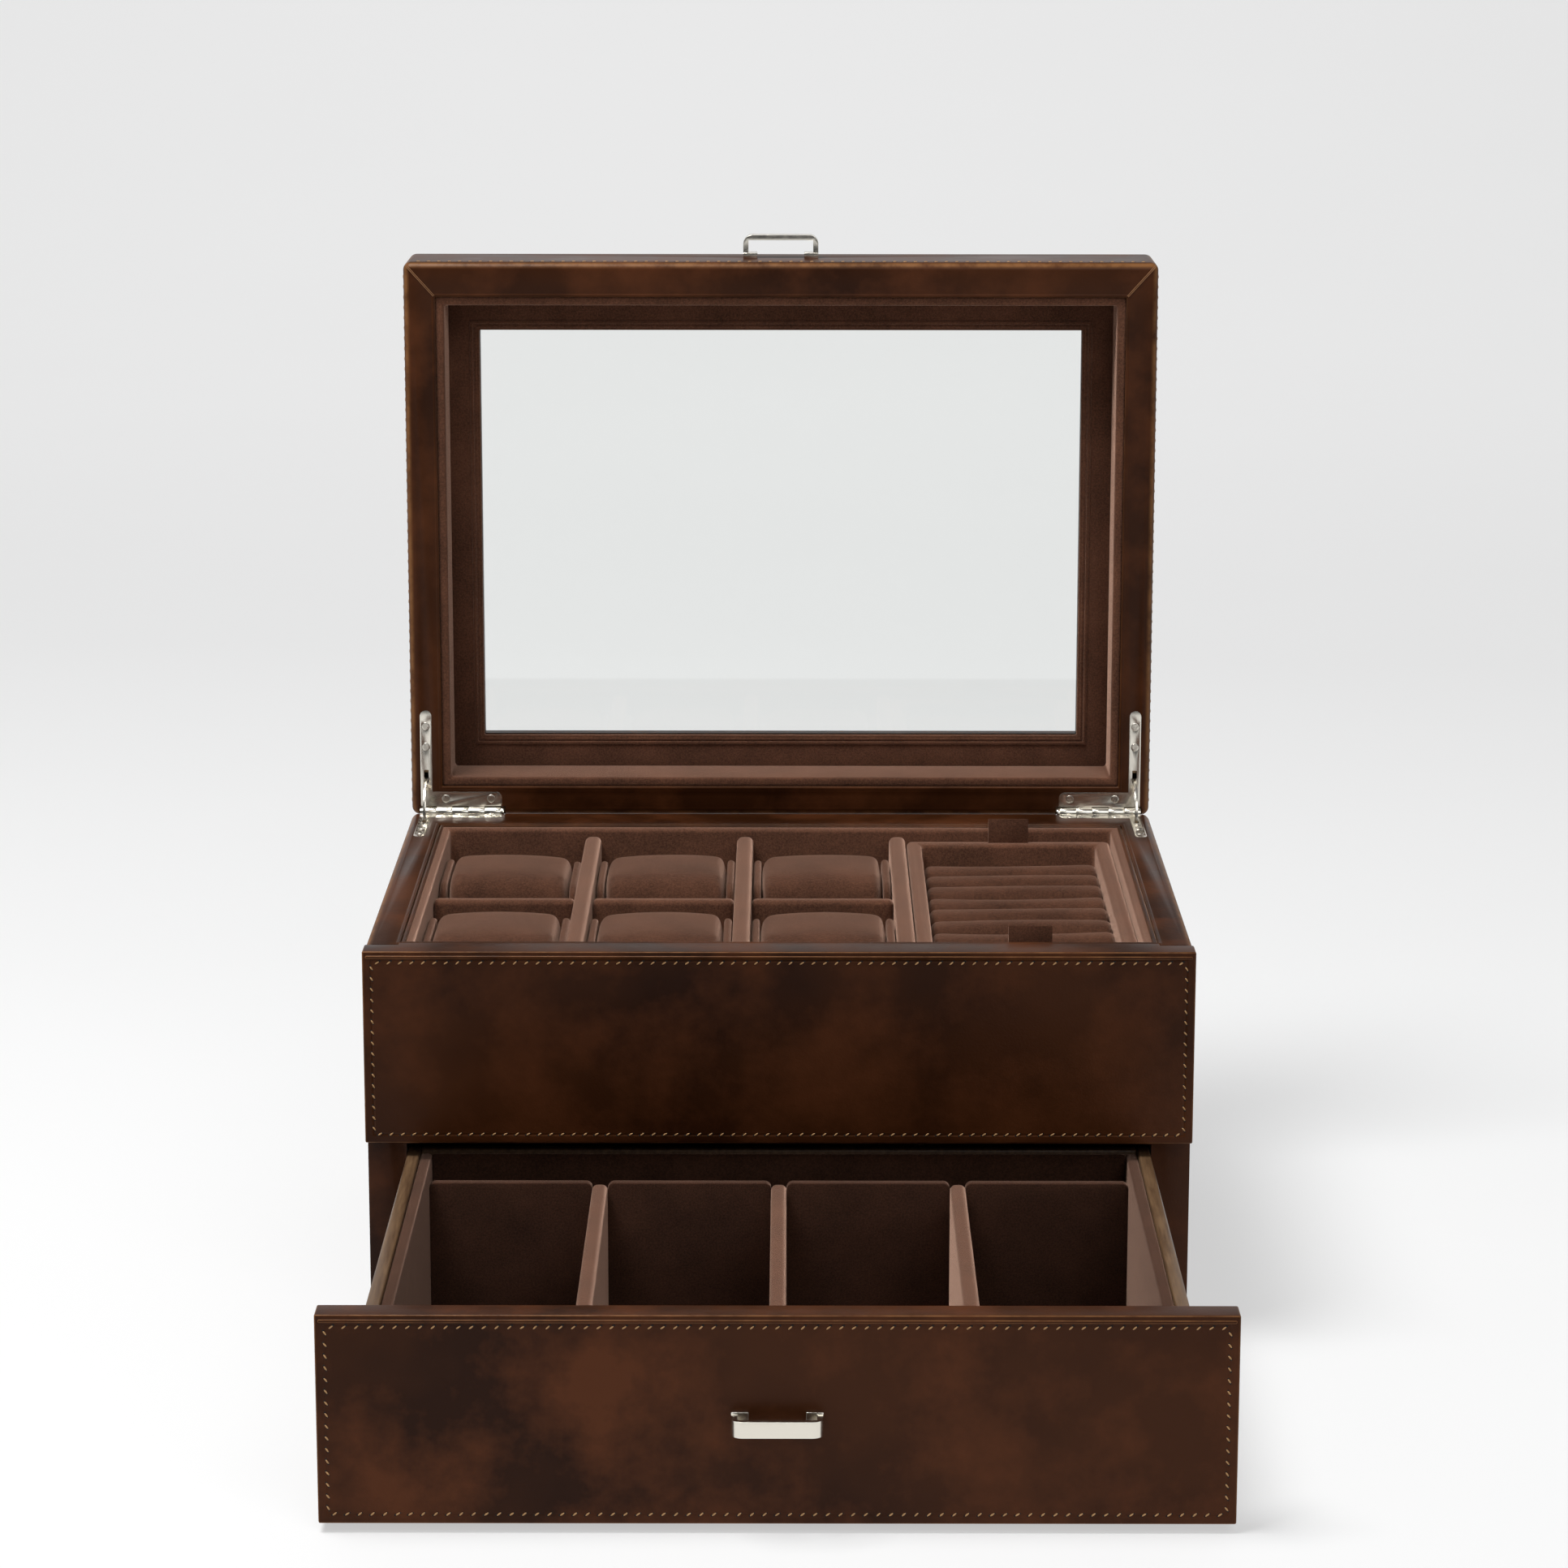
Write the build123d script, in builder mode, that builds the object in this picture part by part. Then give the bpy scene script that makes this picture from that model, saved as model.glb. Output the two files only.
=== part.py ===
from build123d import *
import math
import os

# Leather jewellery case with a glazed lid, a lined upper tray and an overlay drawer.
# Millimetres, +Z up, +X to the right, front towards -Y.
# Origin: centre of the case's footprint, on the surface it stands on.
# The lid is modelled standing open and the drawer pulled out: joint value 0.

# ---------------------------------------------------------------- driving dimensions
case_w = 320.0          # overall width of case, drawer front and lid
case_d = 240.0          # overall depth of the closed case
case_h = 158.0          # table to rim
lid_h = 38.0            # rim to top of lid
drawer_travel = 197.0   # how far the drawer is pulled out

leather_t = 1.2
edge_r = 2.0            # rounding of the front panel's and drawer front's edges
corner_r = 3.5          # rounding of the case and the lid; their rear edges roll past each other
felt_t = 1.0
felt_inset = 6.0
base_t = 8.0
side_t = 13.0           # case side, leather included
back_t = 22.0           # case back, leather included
front_t = 11.0          # front panel and drawer front, leather included
rim_front_t = 14.5      # front rim, panel plus its inner tongue

foot_gap = 3.5          # table to drawer front
drawer_front_h = 76.5
front_gap = 1.5         # drawer front to front panel
shelf_drop = 3.5        # shelf underside below the front panel's lower edge
shelf_t = 10.0
bay_lining_t = 2.0

# upper tray
tray_floor_t = 4.0
tray_wall_t = 5.5
tray_wall_drop = 1.0    # rim to top of tray wall
divider_t = 7.0
divider_drop = 4.0
cross_t = 6.0
cross_drop = 8.0
cell_w = 58.0           # width of a watch compartment
cell_columns = 3
seat_clear = 0.3        # lift-out pieces above the tray floor

# watch pillows
pillow_side_clear = 0.5
pillow_flange = 4.0
pillow_l = 60.0
pillow_drop = 3.5       # rim to pillow crest
pillow_r = 14.0
flange_step = 4.5
flange_r = 12.0

# ring tray
ring_clear = 0.6
ring_wall_t = 6.3
ring_wall_drop = 6.0
ring_base_t = 3.0
roll_count = 9
roll_rear_gap = 5.8
roll_gap = 0.4
roll_end_gap = 0.3
roll_drop = 10.0
roll_crest_flat = 0.1   # half the flat left between the two crest roundings
tab_w = 17.0
tab_t = 1.5
tab_rise = 5.0

# drawer box
drawer_l = 212.0        # face to rear end
drawer_side_clear = 0.7
drawer_floor_clear = 1.6
drawer_top_clear = 2.0
plank_t = 5.0
drawer_bottom_t = 4.0
velvet_floor_t = 2.5
velvet_side_t = 4.3
velvet_front_t = 3.0
velvet_back_t = 2.0
velvet_drop = 1.5
drawer_divider_t = 6.0
drawer_divider_h = 50.5
cross_panel_t = 4.0
rear_pocket = 11.0      # behind the cross panel
notch_r = 3.0
notch_tip_r = 2.5       # rounding of the tips between the notches

# lid
rim_gap = 0.5
lid_rim_side = 13.0
lid_rim_front = 14.3
lid_rim_rear = 12.4
lid_lining_t = 4.2
lid_recess = 27.3       # rim plane to velvet window frame
window_frame_t = 2.5
glass_t = 2.5
glass_lap = 5.0
glass_gap = 0.2
window_side = 30.2      # outer edge to window opening
window_rear = 30.0
window_front = 32.0
mitre_gap = 0.1

# hinges with quadrant stays
axis_inset = 1.5        # hinge axis in from the rear face
barrel_r = 2.25
barrel_clear_r = 2.7
pin_r = 1.0
pin_clear = 0.05
barrel_inset = 3.7      # side of the case to the outer end of the barrel
knuckle_l = 7.0
knuckle_count = 5
knuckle_gap = 0.2
pin_tip_l = 1.4
pin_tip_taper = 0.85    # tip radius as a share of the barrel radius
leaf_t = 1.2
leaf_inset = 4.1
leaf_w = 5.0
leaf_l = 45.0
leaf_foot_l = 9.0
leaf_foot_w = 35.1
leaf_root = 2.7
leaf_corner_r = 2.5
slot_f0, slot_f1 = 13.0, 18.7
slot_w = 2.0
stay_r0, stay_r1 = 14.0, 15.2
stay_t = 1.4
stay_head_t = 3.0
stay_over = 10.0        # degrees the stay runs past each leaf
stay_head_arc = 3.5
pocket_w = 4.0
pocket_f0, pocket_f1 = 6.5, 17.5
pocket_depth = 14.5
screw_r = 1.0
screw_head_r = 1.75
screw_head_t = 0.8
screw_l = 8.0
leaf_screw_f = (29.0, 38.0)
foot_screw_in = (10.8, 30.4)
foot_screw_f = 6.0

# pulls
pull_w = 32.0
pull_out = 10.0
pull_band_w = 6.0
pull_band_t = 2.2
pull_r = 4.0
pull_foot_w = 6.0
pull_foot_l = 7.5
pull_foot_t = 2.4
pull_screw_r = 1.0
pull_screw_bite = 1.8
pull_screw_head_r = 2.0
pull_screw_head_t = 1.4

# ---------------------------------------------------------------- places worked out
half_w, half_d = case_w / 2, case_d / 2
front_y = -half_d
board_front_y = front_y + front_t          # back face of the front panel and the shut drawer front
edge_y = board_front_y + leather_t         # front edges of the boards, under the leather
tray_front_y = front_y + rim_front_t       # inner face of the front rim
tray_back_y = half_d - back_t
inner_x = half_w - side_t
panel_z0 = foot_gap + drawer_front_h + front_gap
shelf_z0 = panel_z0 - shelf_drop
floor_z = shelf_z0 + shelf_t
velvet_z = floor_z + tray_floor_t
bay_z0 = felt_t + base_t
bay_x = inner_x - bay_lining_t
core_h = case_h - leather_t

well_x = inner_x - tray_wall_t
well_y0 = tray_front_y + tray_wall_t
well_y1 = tray_back_y - tray_wall_t
well_y = (well_y0 + well_y1) / 2
row_l = (well_y1 - well_y0 - cross_t) / 2
column_x = [-well_x + cell_w / 2 + i * (cell_w + divider_t) for i in range(cell_columns)]
divider_x = [x + (cell_w + divider_t) / 2 for x in column_x]
row_y = [well_y - (cross_t + row_l) / 2, well_y + (cross_t + row_l) / 2]
ring_x0 = divider_x[-1] + divider_t / 2 + ring_clear
ring_x1 = well_x - ring_clear
ring_y0, ring_y1 = well_y0 + ring_clear, well_y1 - ring_clear
ring_cx = (ring_x0 + ring_x1) / 2
ring_in_x0, ring_in_x1 = ring_x0 + ring_wall_t, ring_x1 - ring_wall_t
ring_in_y0, ring_in_y1 = ring_y0 + ring_wall_t, ring_y1 - ring_wall_t
seat_z = velvet_z + seat_clear
roll_pitch = (ring_in_y1 - ring_in_y0 - roll_rear_gap) / roll_count
roll_t = roll_pitch - roll_gap
roll_r = roll_t / 2 - roll_crest_flat
roll_z1 = case_h - roll_drop

# drawer, in its own plane: x across, y back from its front face
drawer_y = front_y - drawer_travel
drawer_plane = Plane((0, drawer_y, 0))
box_x = bay_x - drawer_side_clear
box_z0 = bay_z0 + drawer_floor_clear
box_z1 = shelf_z0 - drawer_top_clear
drawer_in_x = box_x - plank_t
lined_x = drawer_in_x - velvet_side_t
drawer_floor_z = box_z0 + drawer_bottom_t + velvet_floor_t
drawer_back_y = drawer_l - plank_t
cross_panel_y = drawer_back_y - velvet_back_t - rear_pocket - cross_panel_t
pull_z = foot_gap + drawer_front_h / 2
drawer_cells = 4
drawer_cell_pitch = (2 * lined_x + drawer_divider_t) / drawer_cells

# hinge axis and the two leaf planes: x across, -y forward of the axis, z away from the case
axis_y = half_d - axis_inset
axis_z = case_h + rim_gap / 2
case_plane = Plane((0, axis_y, axis_z), x_dir=(1, 0, 0), z_dir=(0, 0, 1))
lid_plane = Plane((0, axis_y, axis_z), x_dir=(1, 0, 0), z_dir=(0, 1, 0))
lid_y0, lid_y1 = axis_inset - case_d, axis_inset     # front and rear faces, in lid_plane
rim_t = rim_gap / 2
top_t = rim_t + lid_h
recess_t = rim_t + lid_recess
glass_t0 = recess_t + window_frame_t
rim_open = (-half_w + lid_rim_side, lid_y0 + lid_rim_front, half_w - lid_rim_side, lid_y1 - lid_rim_rear)
window = (-half_w + window_side, lid_y0 + window_front, half_w - window_side, lid_y1 - window_rear)
lid_outer = (-half_w, lid_y0, half_w, lid_y1)
barrel_x0 = half_w - barrel_inset
leaf_x0 = half_w - leaf_inset
leaf_foot_x = leaf_x0 - leaf_foot_w
stay_x = leaf_x0 - leaf_w / 2
knuckle_edges = [barrel_x0 - i * knuckle_l for i in range(knuckle_count + 1)]
pull_t = rim_t + lid_h / 2
pull_feet_x = [side * (pull_w - pull_foot_w) / 2 for side in (-1, 1)]
drawer_pull_at = ((0, drawer_y, pull_z), (0, 0, -1))
lid_pull_at = ((0, axis_y + pull_t, axis_z - lid_y0), (0, -1, 0))

os.makedirs("parts", exist_ok=True)


def save(builder, label):
    builder.part.label = label
    export_step(builder.part, f"parts/{label}.step")


def block(x0, x1, y0, y1, z0, z1, plane=Plane.XY, mode=Mode.ADD):
    """A rectangular block between two corners, in the given plane."""
    centre = plane.from_local_coords(((x0 + x1) / 2, (y0 + y1) / 2, (z0 + z1) / 2))
    with Locations(Plane(centre, x_dir=plane.x_dir, z_dir=plane.z_dir)):
        Box(abs(x1 - x0), abs(y1 - y0), abs(z1 - z0), mode=mode)


def shrink(box, by):
    x0, y0, x1, y1 = box
    return x0 + by, y0 + by, x1 - by, y1 - by


def mitred_rails(outer, inner, t0, t1, plane, sides="front rear left right", gap=0.0):
    """Rails of a mitred frame between two rectangles, one solid for each side."""
    x0, y0, x1, y1 = outer
    u0, v0, u1, v1 = inner
    rails = {
        "front": [(x0 + gap, y0), (x1 - gap, y0), (u1 - gap, v0), (u0 + gap, v0)],
        "rear": [(x0 + gap, y1), (x1 - gap, y1), (u1 - gap, v1), (u0 + gap, v1)],
        "left": [(x0, y0 + gap), (u0, v0 + gap), (u0, v1 - gap), (x0, y1 - gap)],
        "right": [(x1, y0 + gap), (u1, v0 + gap), (u1, v1 - gap), (x1, y1 - gap)],
    }
    for side in sides.split():
        with BuildSketch(plane.offset(t0)) as rail:
            Polygon(*rails[side], align=None)
        extrude(rail.sketch, amount=t1 - t0)


# ---------------------------------------------------------------- envelopes
def outer_edges(case):
    """The case's top edges at the sides and rear, and its two rear corners."""
    sides = case.edges().filter_by(Axis.Y).group_by(Axis.Z)[-1]
    rear = case.edges().filter_by(Axis.X).group_by(Axis.Z)[-1].sort_by(Axis.Y)[-1]
    corners = case.edges().filter_by(Axis.Z).group_by(Axis.Y)[-1]
    return sides + corners + [rear]


def case_core():
    """Everything inside the leather of the case."""
    with BuildPart() as core:
        block(-half_w + leather_t, half_w - leather_t, edge_y, half_d - leather_t, 0, core_h)
        fillet(outer_edges(core), radius=corner_r - leather_t)
    return core.part


def lid_shape(inset):
    """The lid's outer shape, or its boards' shape when inset by the leather."""
    low, high = rim_t + inset, top_t - inset
    box = shrink(lid_outer, inset)
    with BuildPart() as shape:
        block(box[0], box[2], box[1], box[3], low, high, lid_plane)
        fillet(shape.edges(), radius=corner_r - inset)
    return shape.part


core_part = case_core()
lid_core = lid_shape(leather_t)
lid_env = lid_shape(0)


# ---------------------------------------------------------------- hinge cut-outs
def leaf_outline(side):
    """Outline of a leaf: a strip with a round end, and a foot along the rear rim."""
    mid = side * stay_x
    with Locations((mid, -(leaf_l - leaf_w / 2 + leaf_root) / 2)):
        Rectangle(leaf_w, leaf_l - leaf_w / 2 - leaf_root)
    with Locations((mid, -(leaf_l - leaf_w / 2))):
        Circle(leaf_w / 2)
    with Locations((side * (leaf_x0 + leaf_foot_x) / 2, -(leaf_foot_l + leaf_root) / 2)):
        Rectangle(leaf_x0 - leaf_foot_x, leaf_foot_l - leaf_root)
    with Locations((side * (leaf_foot_x + leaf_corner_r / 2), -(leaf_foot_l - leaf_corner_r / 2))):
        Rectangle(leaf_corner_r, leaf_corner_r, mode=Mode.SUBTRACT)
    with Locations((side * (leaf_foot_x + leaf_corner_r), -(leaf_foot_l - leaf_corner_r))):
        Circle(leaf_corner_r)


def leaf_holes(side):
    """Centres of a leaf's four screws."""
    strip = [(side * stay_x, -f) for f in leaf_screw_f]
    foot = [(side * (leaf_x0 - x), -foot_screw_f) for x in foot_screw_in]
    return strip + foot


def leaf_screws(plane, out):
    """Countersunk screws through both leaves of a rim, their heads flush with the leaves."""
    with BuildPart() as screws:
        with BuildSketch(plane.offset(out * rim_t)):
            with Locations(*leaf_holes(-1), *leaf_holes(1)):
                Circle(screw_head_r)
        extrude(amount=out * screw_head_t)
        with BuildSketch(plane.offset(out * rim_t)):
            with Locations(*leaf_holes(-1), *leaf_holes(1)):
                Circle(screw_r)
        extrude(amount=out * (leaf_t + screw_l))
    return screws.part


def cut_for_hinges(plane, out):
    """Clears the barrel, the leaves' screws and the stays' pockets out of a board or a skin."""
    for side in (-1, 1):
        mid = side * (barrel_x0 + knuckle_edges[-1] - pin_tip_l) / 2
        length = barrel_x0 - knuckle_edges[-1] + pin_tip_l + 1
        with Locations(Plane(plane.from_local_coords((mid, 0, 0)), x_dir=(0, 1, 0), z_dir=(1, 0, 0))):
            Cylinder(barrel_clear_r, length, mode=Mode.SUBTRACT)
        mid = side * stay_x
        block(mid - pocket_w / 2, mid + pocket_w / 2, -pocket_f1, -pocket_f0, out * rim_t,
              out * pocket_depth, plane, Mode.SUBTRACT)
    add(leaf_screws(plane, out), mode=Mode.SUBTRACT)


def cut_leaf_seats(plane, out):
    """Leaf-shaped seats through the leather of a rim."""
    for side in (-1, 1):
        with BuildSketch(plane.offset(out * rim_t)) as seat:
            leaf_outline(side)
            with Locations((side * (barrel_x0 + leaf_foot_x) / 2, -leaf_root / 2)):
                Rectangle(barrel_x0 - leaf_foot_x, leaf_root)
        extrude(seat.sketch, amount=out * leaf_t, mode=Mode.SUBTRACT)


# ---------------------------------------------------------------- case
def make_base():
    with BuildPart() as felt:
        block(-half_w + felt_inset, half_w - felt_inset, board_front_y + felt_inset,
              half_d - felt_inset, 0, felt_t)
    save(felt, "base_felt")
    with BuildPart() as base:
        block(-inner_x, inner_x, edge_y, tray_back_y, felt_t, bay_z0)
    save(base, "base_board")


def make_side_board(side, label):
    with BuildPart() as board:
        block(side * inner_x, side * half_w, edge_y, half_d, felt_t, case_h)
        add(core_part, mode=Mode.INTERSECT)
        cut_for_hinges(case_plane, -1)
    save(board, label)


def make_back_board():
    with BuildPart() as board:
        block(-inner_x, inner_x, tray_back_y, half_d, felt_t, case_h)
        add(core_part, mode=Mode.INTERSECT)
        cut_for_hinges(case_plane, -1)
    save(board, "back_board")


def make_shelf():
    with BuildPart() as shelf:
        block(-inner_x, inner_x, edge_y, tray_back_y, shelf_z0, floor_z)
    save(shelf, "shelf_board")


def make_front_panel():
    with BuildPart() as board:
        block(-half_w + leather_t, half_w - leather_t, front_y + leather_t, board_front_y,
              panel_z0 + leather_t, core_h)
        block(-inner_x, inner_x, board_front_y, tray_front_y, floor_z, core_h)
    save(board, "front_panel_board")
    with BuildPart() as leather:
        block(-half_w, half_w, front_y, board_front_y, panel_z0, case_h)
        fillet(leather.faces().sort_by(Axis.Y)[0].edges(), radius=edge_r)
        block(-inner_x, inner_x, board_front_y, tray_front_y, core_h, case_h)
        add(board.part, mode=Mode.SUBTRACT)
    save(leather, "front_panel_leather")


def make_case_leather():
    with BuildPart() as leather:
        block(-half_w, half_w, board_front_y, half_d, felt_t, case_h)
        fillet(outer_edges(leather), radius=corner_r)
        add(core_part, mode=Mode.SUBTRACT)
        block(-inner_x, inner_x, board_front_y, tray_back_y, floor_z, case_h, mode=Mode.SUBTRACT)
        block(-bay_x, bay_x, board_front_y, edge_y, bay_z0, shelf_z0, mode=Mode.SUBTRACT)
        cut_for_hinges(case_plane, -1)
        cut_leaf_seats(case_plane, -1)
    save(leather, "case_leather")


def make_bay_lining():
    with BuildPart() as lining:
        for side in (-1, 1):
            block(side * bay_x, side * inner_x, edge_y, tray_back_y, bay_z0, shelf_z0)
    save(lining, "bay_lining")


# ---------------------------------------------------------------- upper tray
def make_tray():
    wall_z = case_h - tray_wall_drop
    with BuildPart() as tray_floor:
        block(-inner_x, inner_x, tray_front_y, tray_back_y, floor_z, velvet_z)
    save(tray_floor, "tray_floor_velvet")
    with BuildPart() as walls:
        for side in (-1, 1):
            block(side * well_x, side * inner_x, tray_front_y, tray_back_y, velvet_z, wall_z)
        end_x = well_x - mitre_gap
        block(-end_x, end_x, tray_front_y, well_y0, velvet_z, wall_z)
        block(-end_x, end_x, well_y1, tray_back_y, velvet_z, wall_z)
    save(walls, "tray_wall_liners")
    for x, name in zip(divider_x, ("left", "middle", "right")):
        with BuildPart() as divider:
            block(x - divider_t / 2, x + divider_t / 2, well_y0, well_y1, velvet_z, case_h - divider_drop)
        save(divider, f"tray_divider_{name}")
    with BuildPart() as cross:
        for x in column_x:
            block(x - cell_w / 2, x + cell_w / 2, well_y - cross_t / 2, well_y + cross_t / 2,
                  velvet_z, case_h - cross_drop)
    save(cross, "tray_cross_dividers")


def make_pillow(x, y, label):
    """A watch pillow: a rounded cushion with a lower flange at each end."""
    half = cell_w / 2 - pillow_side_clear
    core = half - pillow_flange
    crest = case_h - pillow_drop
    plane = Plane((x, y, (seat_z + crest) / 2), x_dir=(0, 1, 0), z_dir=(1, 0, 0))
    tall = crest - seat_z
    with BuildPart() as pillow:
        with BuildSketch(plane):
            RectangleRounded(pillow_l, tall, pillow_r)
        extrude(amount=core, both=True)
        with BuildSketch(plane):
            RectangleRounded(pillow_l - 2 * flange_step, tall - 2 * flange_step, flange_r)
        extrude(amount=half, both=True)
    save(pillow, label)


def make_ring_tray():
    wall_z = case_h - ring_wall_drop
    outer = (ring_x0, ring_y0, ring_x1, ring_y1)
    with BuildPart() as frame:
        mitred_rails(outer, shrink(outer, ring_wall_t), seat_z, wall_z, Plane.XY, gap=mitre_gap)
    save(frame, "ring_tray_frame")
    with BuildPart() as base:
        block(ring_in_x0, ring_in_x1, ring_in_y0, ring_in_y1, seat_z, seat_z + ring_base_t)
    save(base, "ring_tray_base")
    roll_z0 = seat_z + ring_base_t
    with BuildPart() as rolls:
        for i in range(roll_count):
            y = ring_in_y0 + (i + 0.5) * roll_pitch
            block(ring_in_x0 + roll_end_gap, ring_in_x1 - roll_end_gap, y - roll_t / 2, y + roll_t / 2,
                  roll_z0, roll_z1)
        crests = rolls.edges().filter_by(Axis.X).group_by(Axis.Z)[-1]
        fillet(crests, radius=roll_r)
    save(rolls, "ring_rolls")
    with BuildPart() as tabs:
        for y in (ring_y0 + ring_wall_t / 2, ring_y1 - ring_wall_t / 2):
            block(ring_cx - tab_w / 2, ring_cx + tab_w / 2, y - tab_t / 2, y + tab_t / 2,
                  wall_z, case_h + tab_rise)
    save(tabs, "ring_tray_tabs")


# ---------------------------------------------------------------- pulls
def make_pull(origin, across, screws, label):
    """D-shaped pull: a bent band on two feet, standing out along the plane's y."""
    plane = Plane(origin, x_dir=(1, 0, 0), z_dir=across)
    with BuildPart() as pull:
        with BuildSketch(plane) as band:
            with Locations((0, pull_out / 2)):
                Rectangle(pull_w, pull_out)
            fillet(band.vertices().group_by(Axis.Y)[-1], radius=pull_r)
            with Locations((0, (pull_out - pull_band_t) / 2)):
                Rectangle(pull_w - 2 * pull_band_t, pull_out - pull_band_t, mode=Mode.SUBTRACT)
        extrude(amount=pull_band_w / 2, both=True)
        with BuildSketch(plane):
            for x in pull_feet_x:
                with Locations((x, pull_foot_t / 2)):
                    Rectangle(pull_foot_w, pull_foot_t)
        extrude(amount=pull_foot_l / 2, both=True)
        add(screws, mode=Mode.SUBTRACT)
    save(pull, label)


def pull_screws(origin, across, thickness):
    """Two screws from the back of a board of the given thickness into the pull's feet."""
    out = Plane(origin, x_dir=(1, 0, 0), z_dir=across).y_dir
    from_back = (Align.CENTER, Align.CENTER, Align.MIN)
    with BuildPart() as screws:
        for x in pull_feet_x:
            start = Vector(*origin) + Vector(x, 0, 0) - out * thickness
            with Locations(Plane(start, x_dir=(1, 0, 0), z_dir=out)):
                Cylinder(pull_screw_head_r, pull_screw_head_t, align=from_back)
                Cylinder(pull_screw_r, thickness + pull_screw_bite, align=from_back)
    return screws


# ---------------------------------------------------------------- drawer
def make_drawer_front():
    face = (-half_w, half_w, 0, front_t, foot_gap, foot_gap + drawer_front_h)
    with BuildPart() as board:
        block(face[0] + leather_t, face[1] - leather_t, leather_t, front_t,
              face[4] + leather_t, face[5] - leather_t, drawer_plane)
        add(drawer_screws.part, mode=Mode.SUBTRACT)
    save(board, "drawer_front_board")
    with BuildPart() as leather:
        block(*face, drawer_plane)
        fillet(leather.faces().sort_by(Axis.Y)[0].edges(), radius=edge_r)
        block(face[0] + leather_t, face[1] - leather_t, leather_t, front_t,
              face[4] + leather_t, face[5] - leather_t, drawer_plane, mode=Mode.SUBTRACT)
        add(drawer_screws.part, mode=Mode.SUBTRACT)
    save(leather, "drawer_front_leather")


def make_drawer_box():
    for side, name in ((-1, "left"), (1, "right")):
        with BuildPart() as plank:
            block(side * drawer_in_x, side * box_x, front_t, drawer_l, box_z0, box_z1, drawer_plane)
        save(plank, f"drawer_side_{name}")
    with BuildPart() as back:
        block(-drawer_in_x, drawer_in_x, drawer_back_y, drawer_l, box_z0, box_z1, drawer_plane)
    save(back, "drawer_back")
    with BuildPart() as bottom:
        block(-drawer_in_x, drawer_in_x, front_t, drawer_back_y, box_z0, box_z0 + drawer_bottom_t,
              drawer_plane)
    save(bottom, "drawer_bottom")


def make_drawer_lining():
    low, high = box_z0 + drawer_bottom_t, box_z1 - velvet_drop
    end_x = lined_x - mitre_gap
    with BuildPart() as lining:
        block(-drawer_in_x, drawer_in_x, front_t, drawer_back_y, low, drawer_floor_z, drawer_plane)
    save(lining, "drawer_floor_velvet")
    with BuildPart() as walls:
        for side in (-1, 1):
            block(side * lined_x, side * drawer_in_x, front_t, drawer_back_y, drawer_floor_z, high,
                  drawer_plane)
        block(-end_x, end_x, front_t, front_t + velvet_front_t, drawer_floor_z, high, drawer_plane)
        block(-end_x, end_x, drawer_back_y - velvet_back_t, drawer_back_y, drawer_floor_z, high,
              drawer_plane)
    save(walls, "drawer_wall_velvet")


def make_drawer_dividers():
    top = drawer_floor_z + drawer_divider_h
    front = front_t + velvet_front_t
    for i, name in enumerate(("left", "middle", "right")):
        x = (i - 1) * drawer_cell_pitch
        with BuildPart() as divider:
            block(x - drawer_divider_t / 2, x + drawer_divider_t / 2, front, cross_panel_y,
                  drawer_floor_z, top, drawer_plane)
        save(divider, f"drawer_divider_{name}")
    with BuildPart() as panel:
        block(-lined_x, lined_x, cross_panel_y, cross_panel_y + cross_panel_t, drawer_floor_z, top,
              drawer_plane)
        for i in range(3):
            x = (i - 1) * drawer_cell_pitch
            block(x - drawer_divider_t / 2, x + drawer_divider_t / 2, cross_panel_y,
                  cross_panel_y + cross_panel_t, top - notch_r, top, drawer_plane, mode=Mode.SUBTRACT)
        tips = panel.edges().filter_by(Axis.Y).group_by(Axis.Z)[-1]
        fillet(tips, radius=notch_tip_r)
    save(panel, "drawer_cross_panel")


# ---------------------------------------------------------------- lid
def make_lid_boards():
    for side in ("front", "rear", "left", "right"):
        with BuildPart() as board:
            mitred_rails(lid_outer, rim_open, rim_t, top_t, lid_plane, side)
            add(lid_core, mode=Mode.INTERSECT)
            cut_for_hinges(lid_plane, 1)
            if side == "front":
                add(lid_screws.part, mode=Mode.SUBTRACT)
        save(board, f"lid_{side}_board")
    with BuildPart() as rails:
        mitred_rails(rim_open, window, glass_t0, top_t - leather_t, lid_plane, gap=mitre_gap)
        pane = shrink(window, -glass_lap)
        block(pane[0], pane[2], pane[1], pane[3], glass_t0, glass_t0 + glass_t + glass_gap, lid_plane,
              Mode.SUBTRACT)
    save(rails, "lid_top_rails")


def make_lid_leather():
    with BuildPart() as leather:
        add(lid_env)
        add(lid_core, mode=Mode.SUBTRACT)
        block(rim_open[0], rim_open[2], rim_open[1], rim_open[3], rim_t, rim_t + leather_t, lid_plane,
              Mode.SUBTRACT)
        block(window[0], window[2], window[1], window[3], top_t - leather_t, top_t, lid_plane,
              Mode.SUBTRACT)
        cut_for_hinges(lid_plane, 1)
        cut_leaf_seats(lid_plane, 1)
        add(lid_screws.part, mode=Mode.SUBTRACT)
    save(leather, "lid_leather")


def make_lid_inside():
    lined = shrink(rim_open, lid_lining_t)
    with BuildPart() as walls:
        mitred_rails(rim_open, lined, rim_t + leather_t, recess_t, lid_plane, gap=mitre_gap)
    save(walls, "lid_wall_velvet")
    with BuildPart() as frame:
        mitred_rails(rim_open, window, recess_t, glass_t0, lid_plane, gap=mitre_gap)
    save(frame, "lid_window_velvet")
    pane = shrink(window, glass_gap - glass_lap)
    with BuildPart() as glass:
        block(pane[0], pane[2], pane[1], pane[3], glass_t0, glass_t0 + glass_t, lid_plane)
    save(glass, "window_glass")


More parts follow.
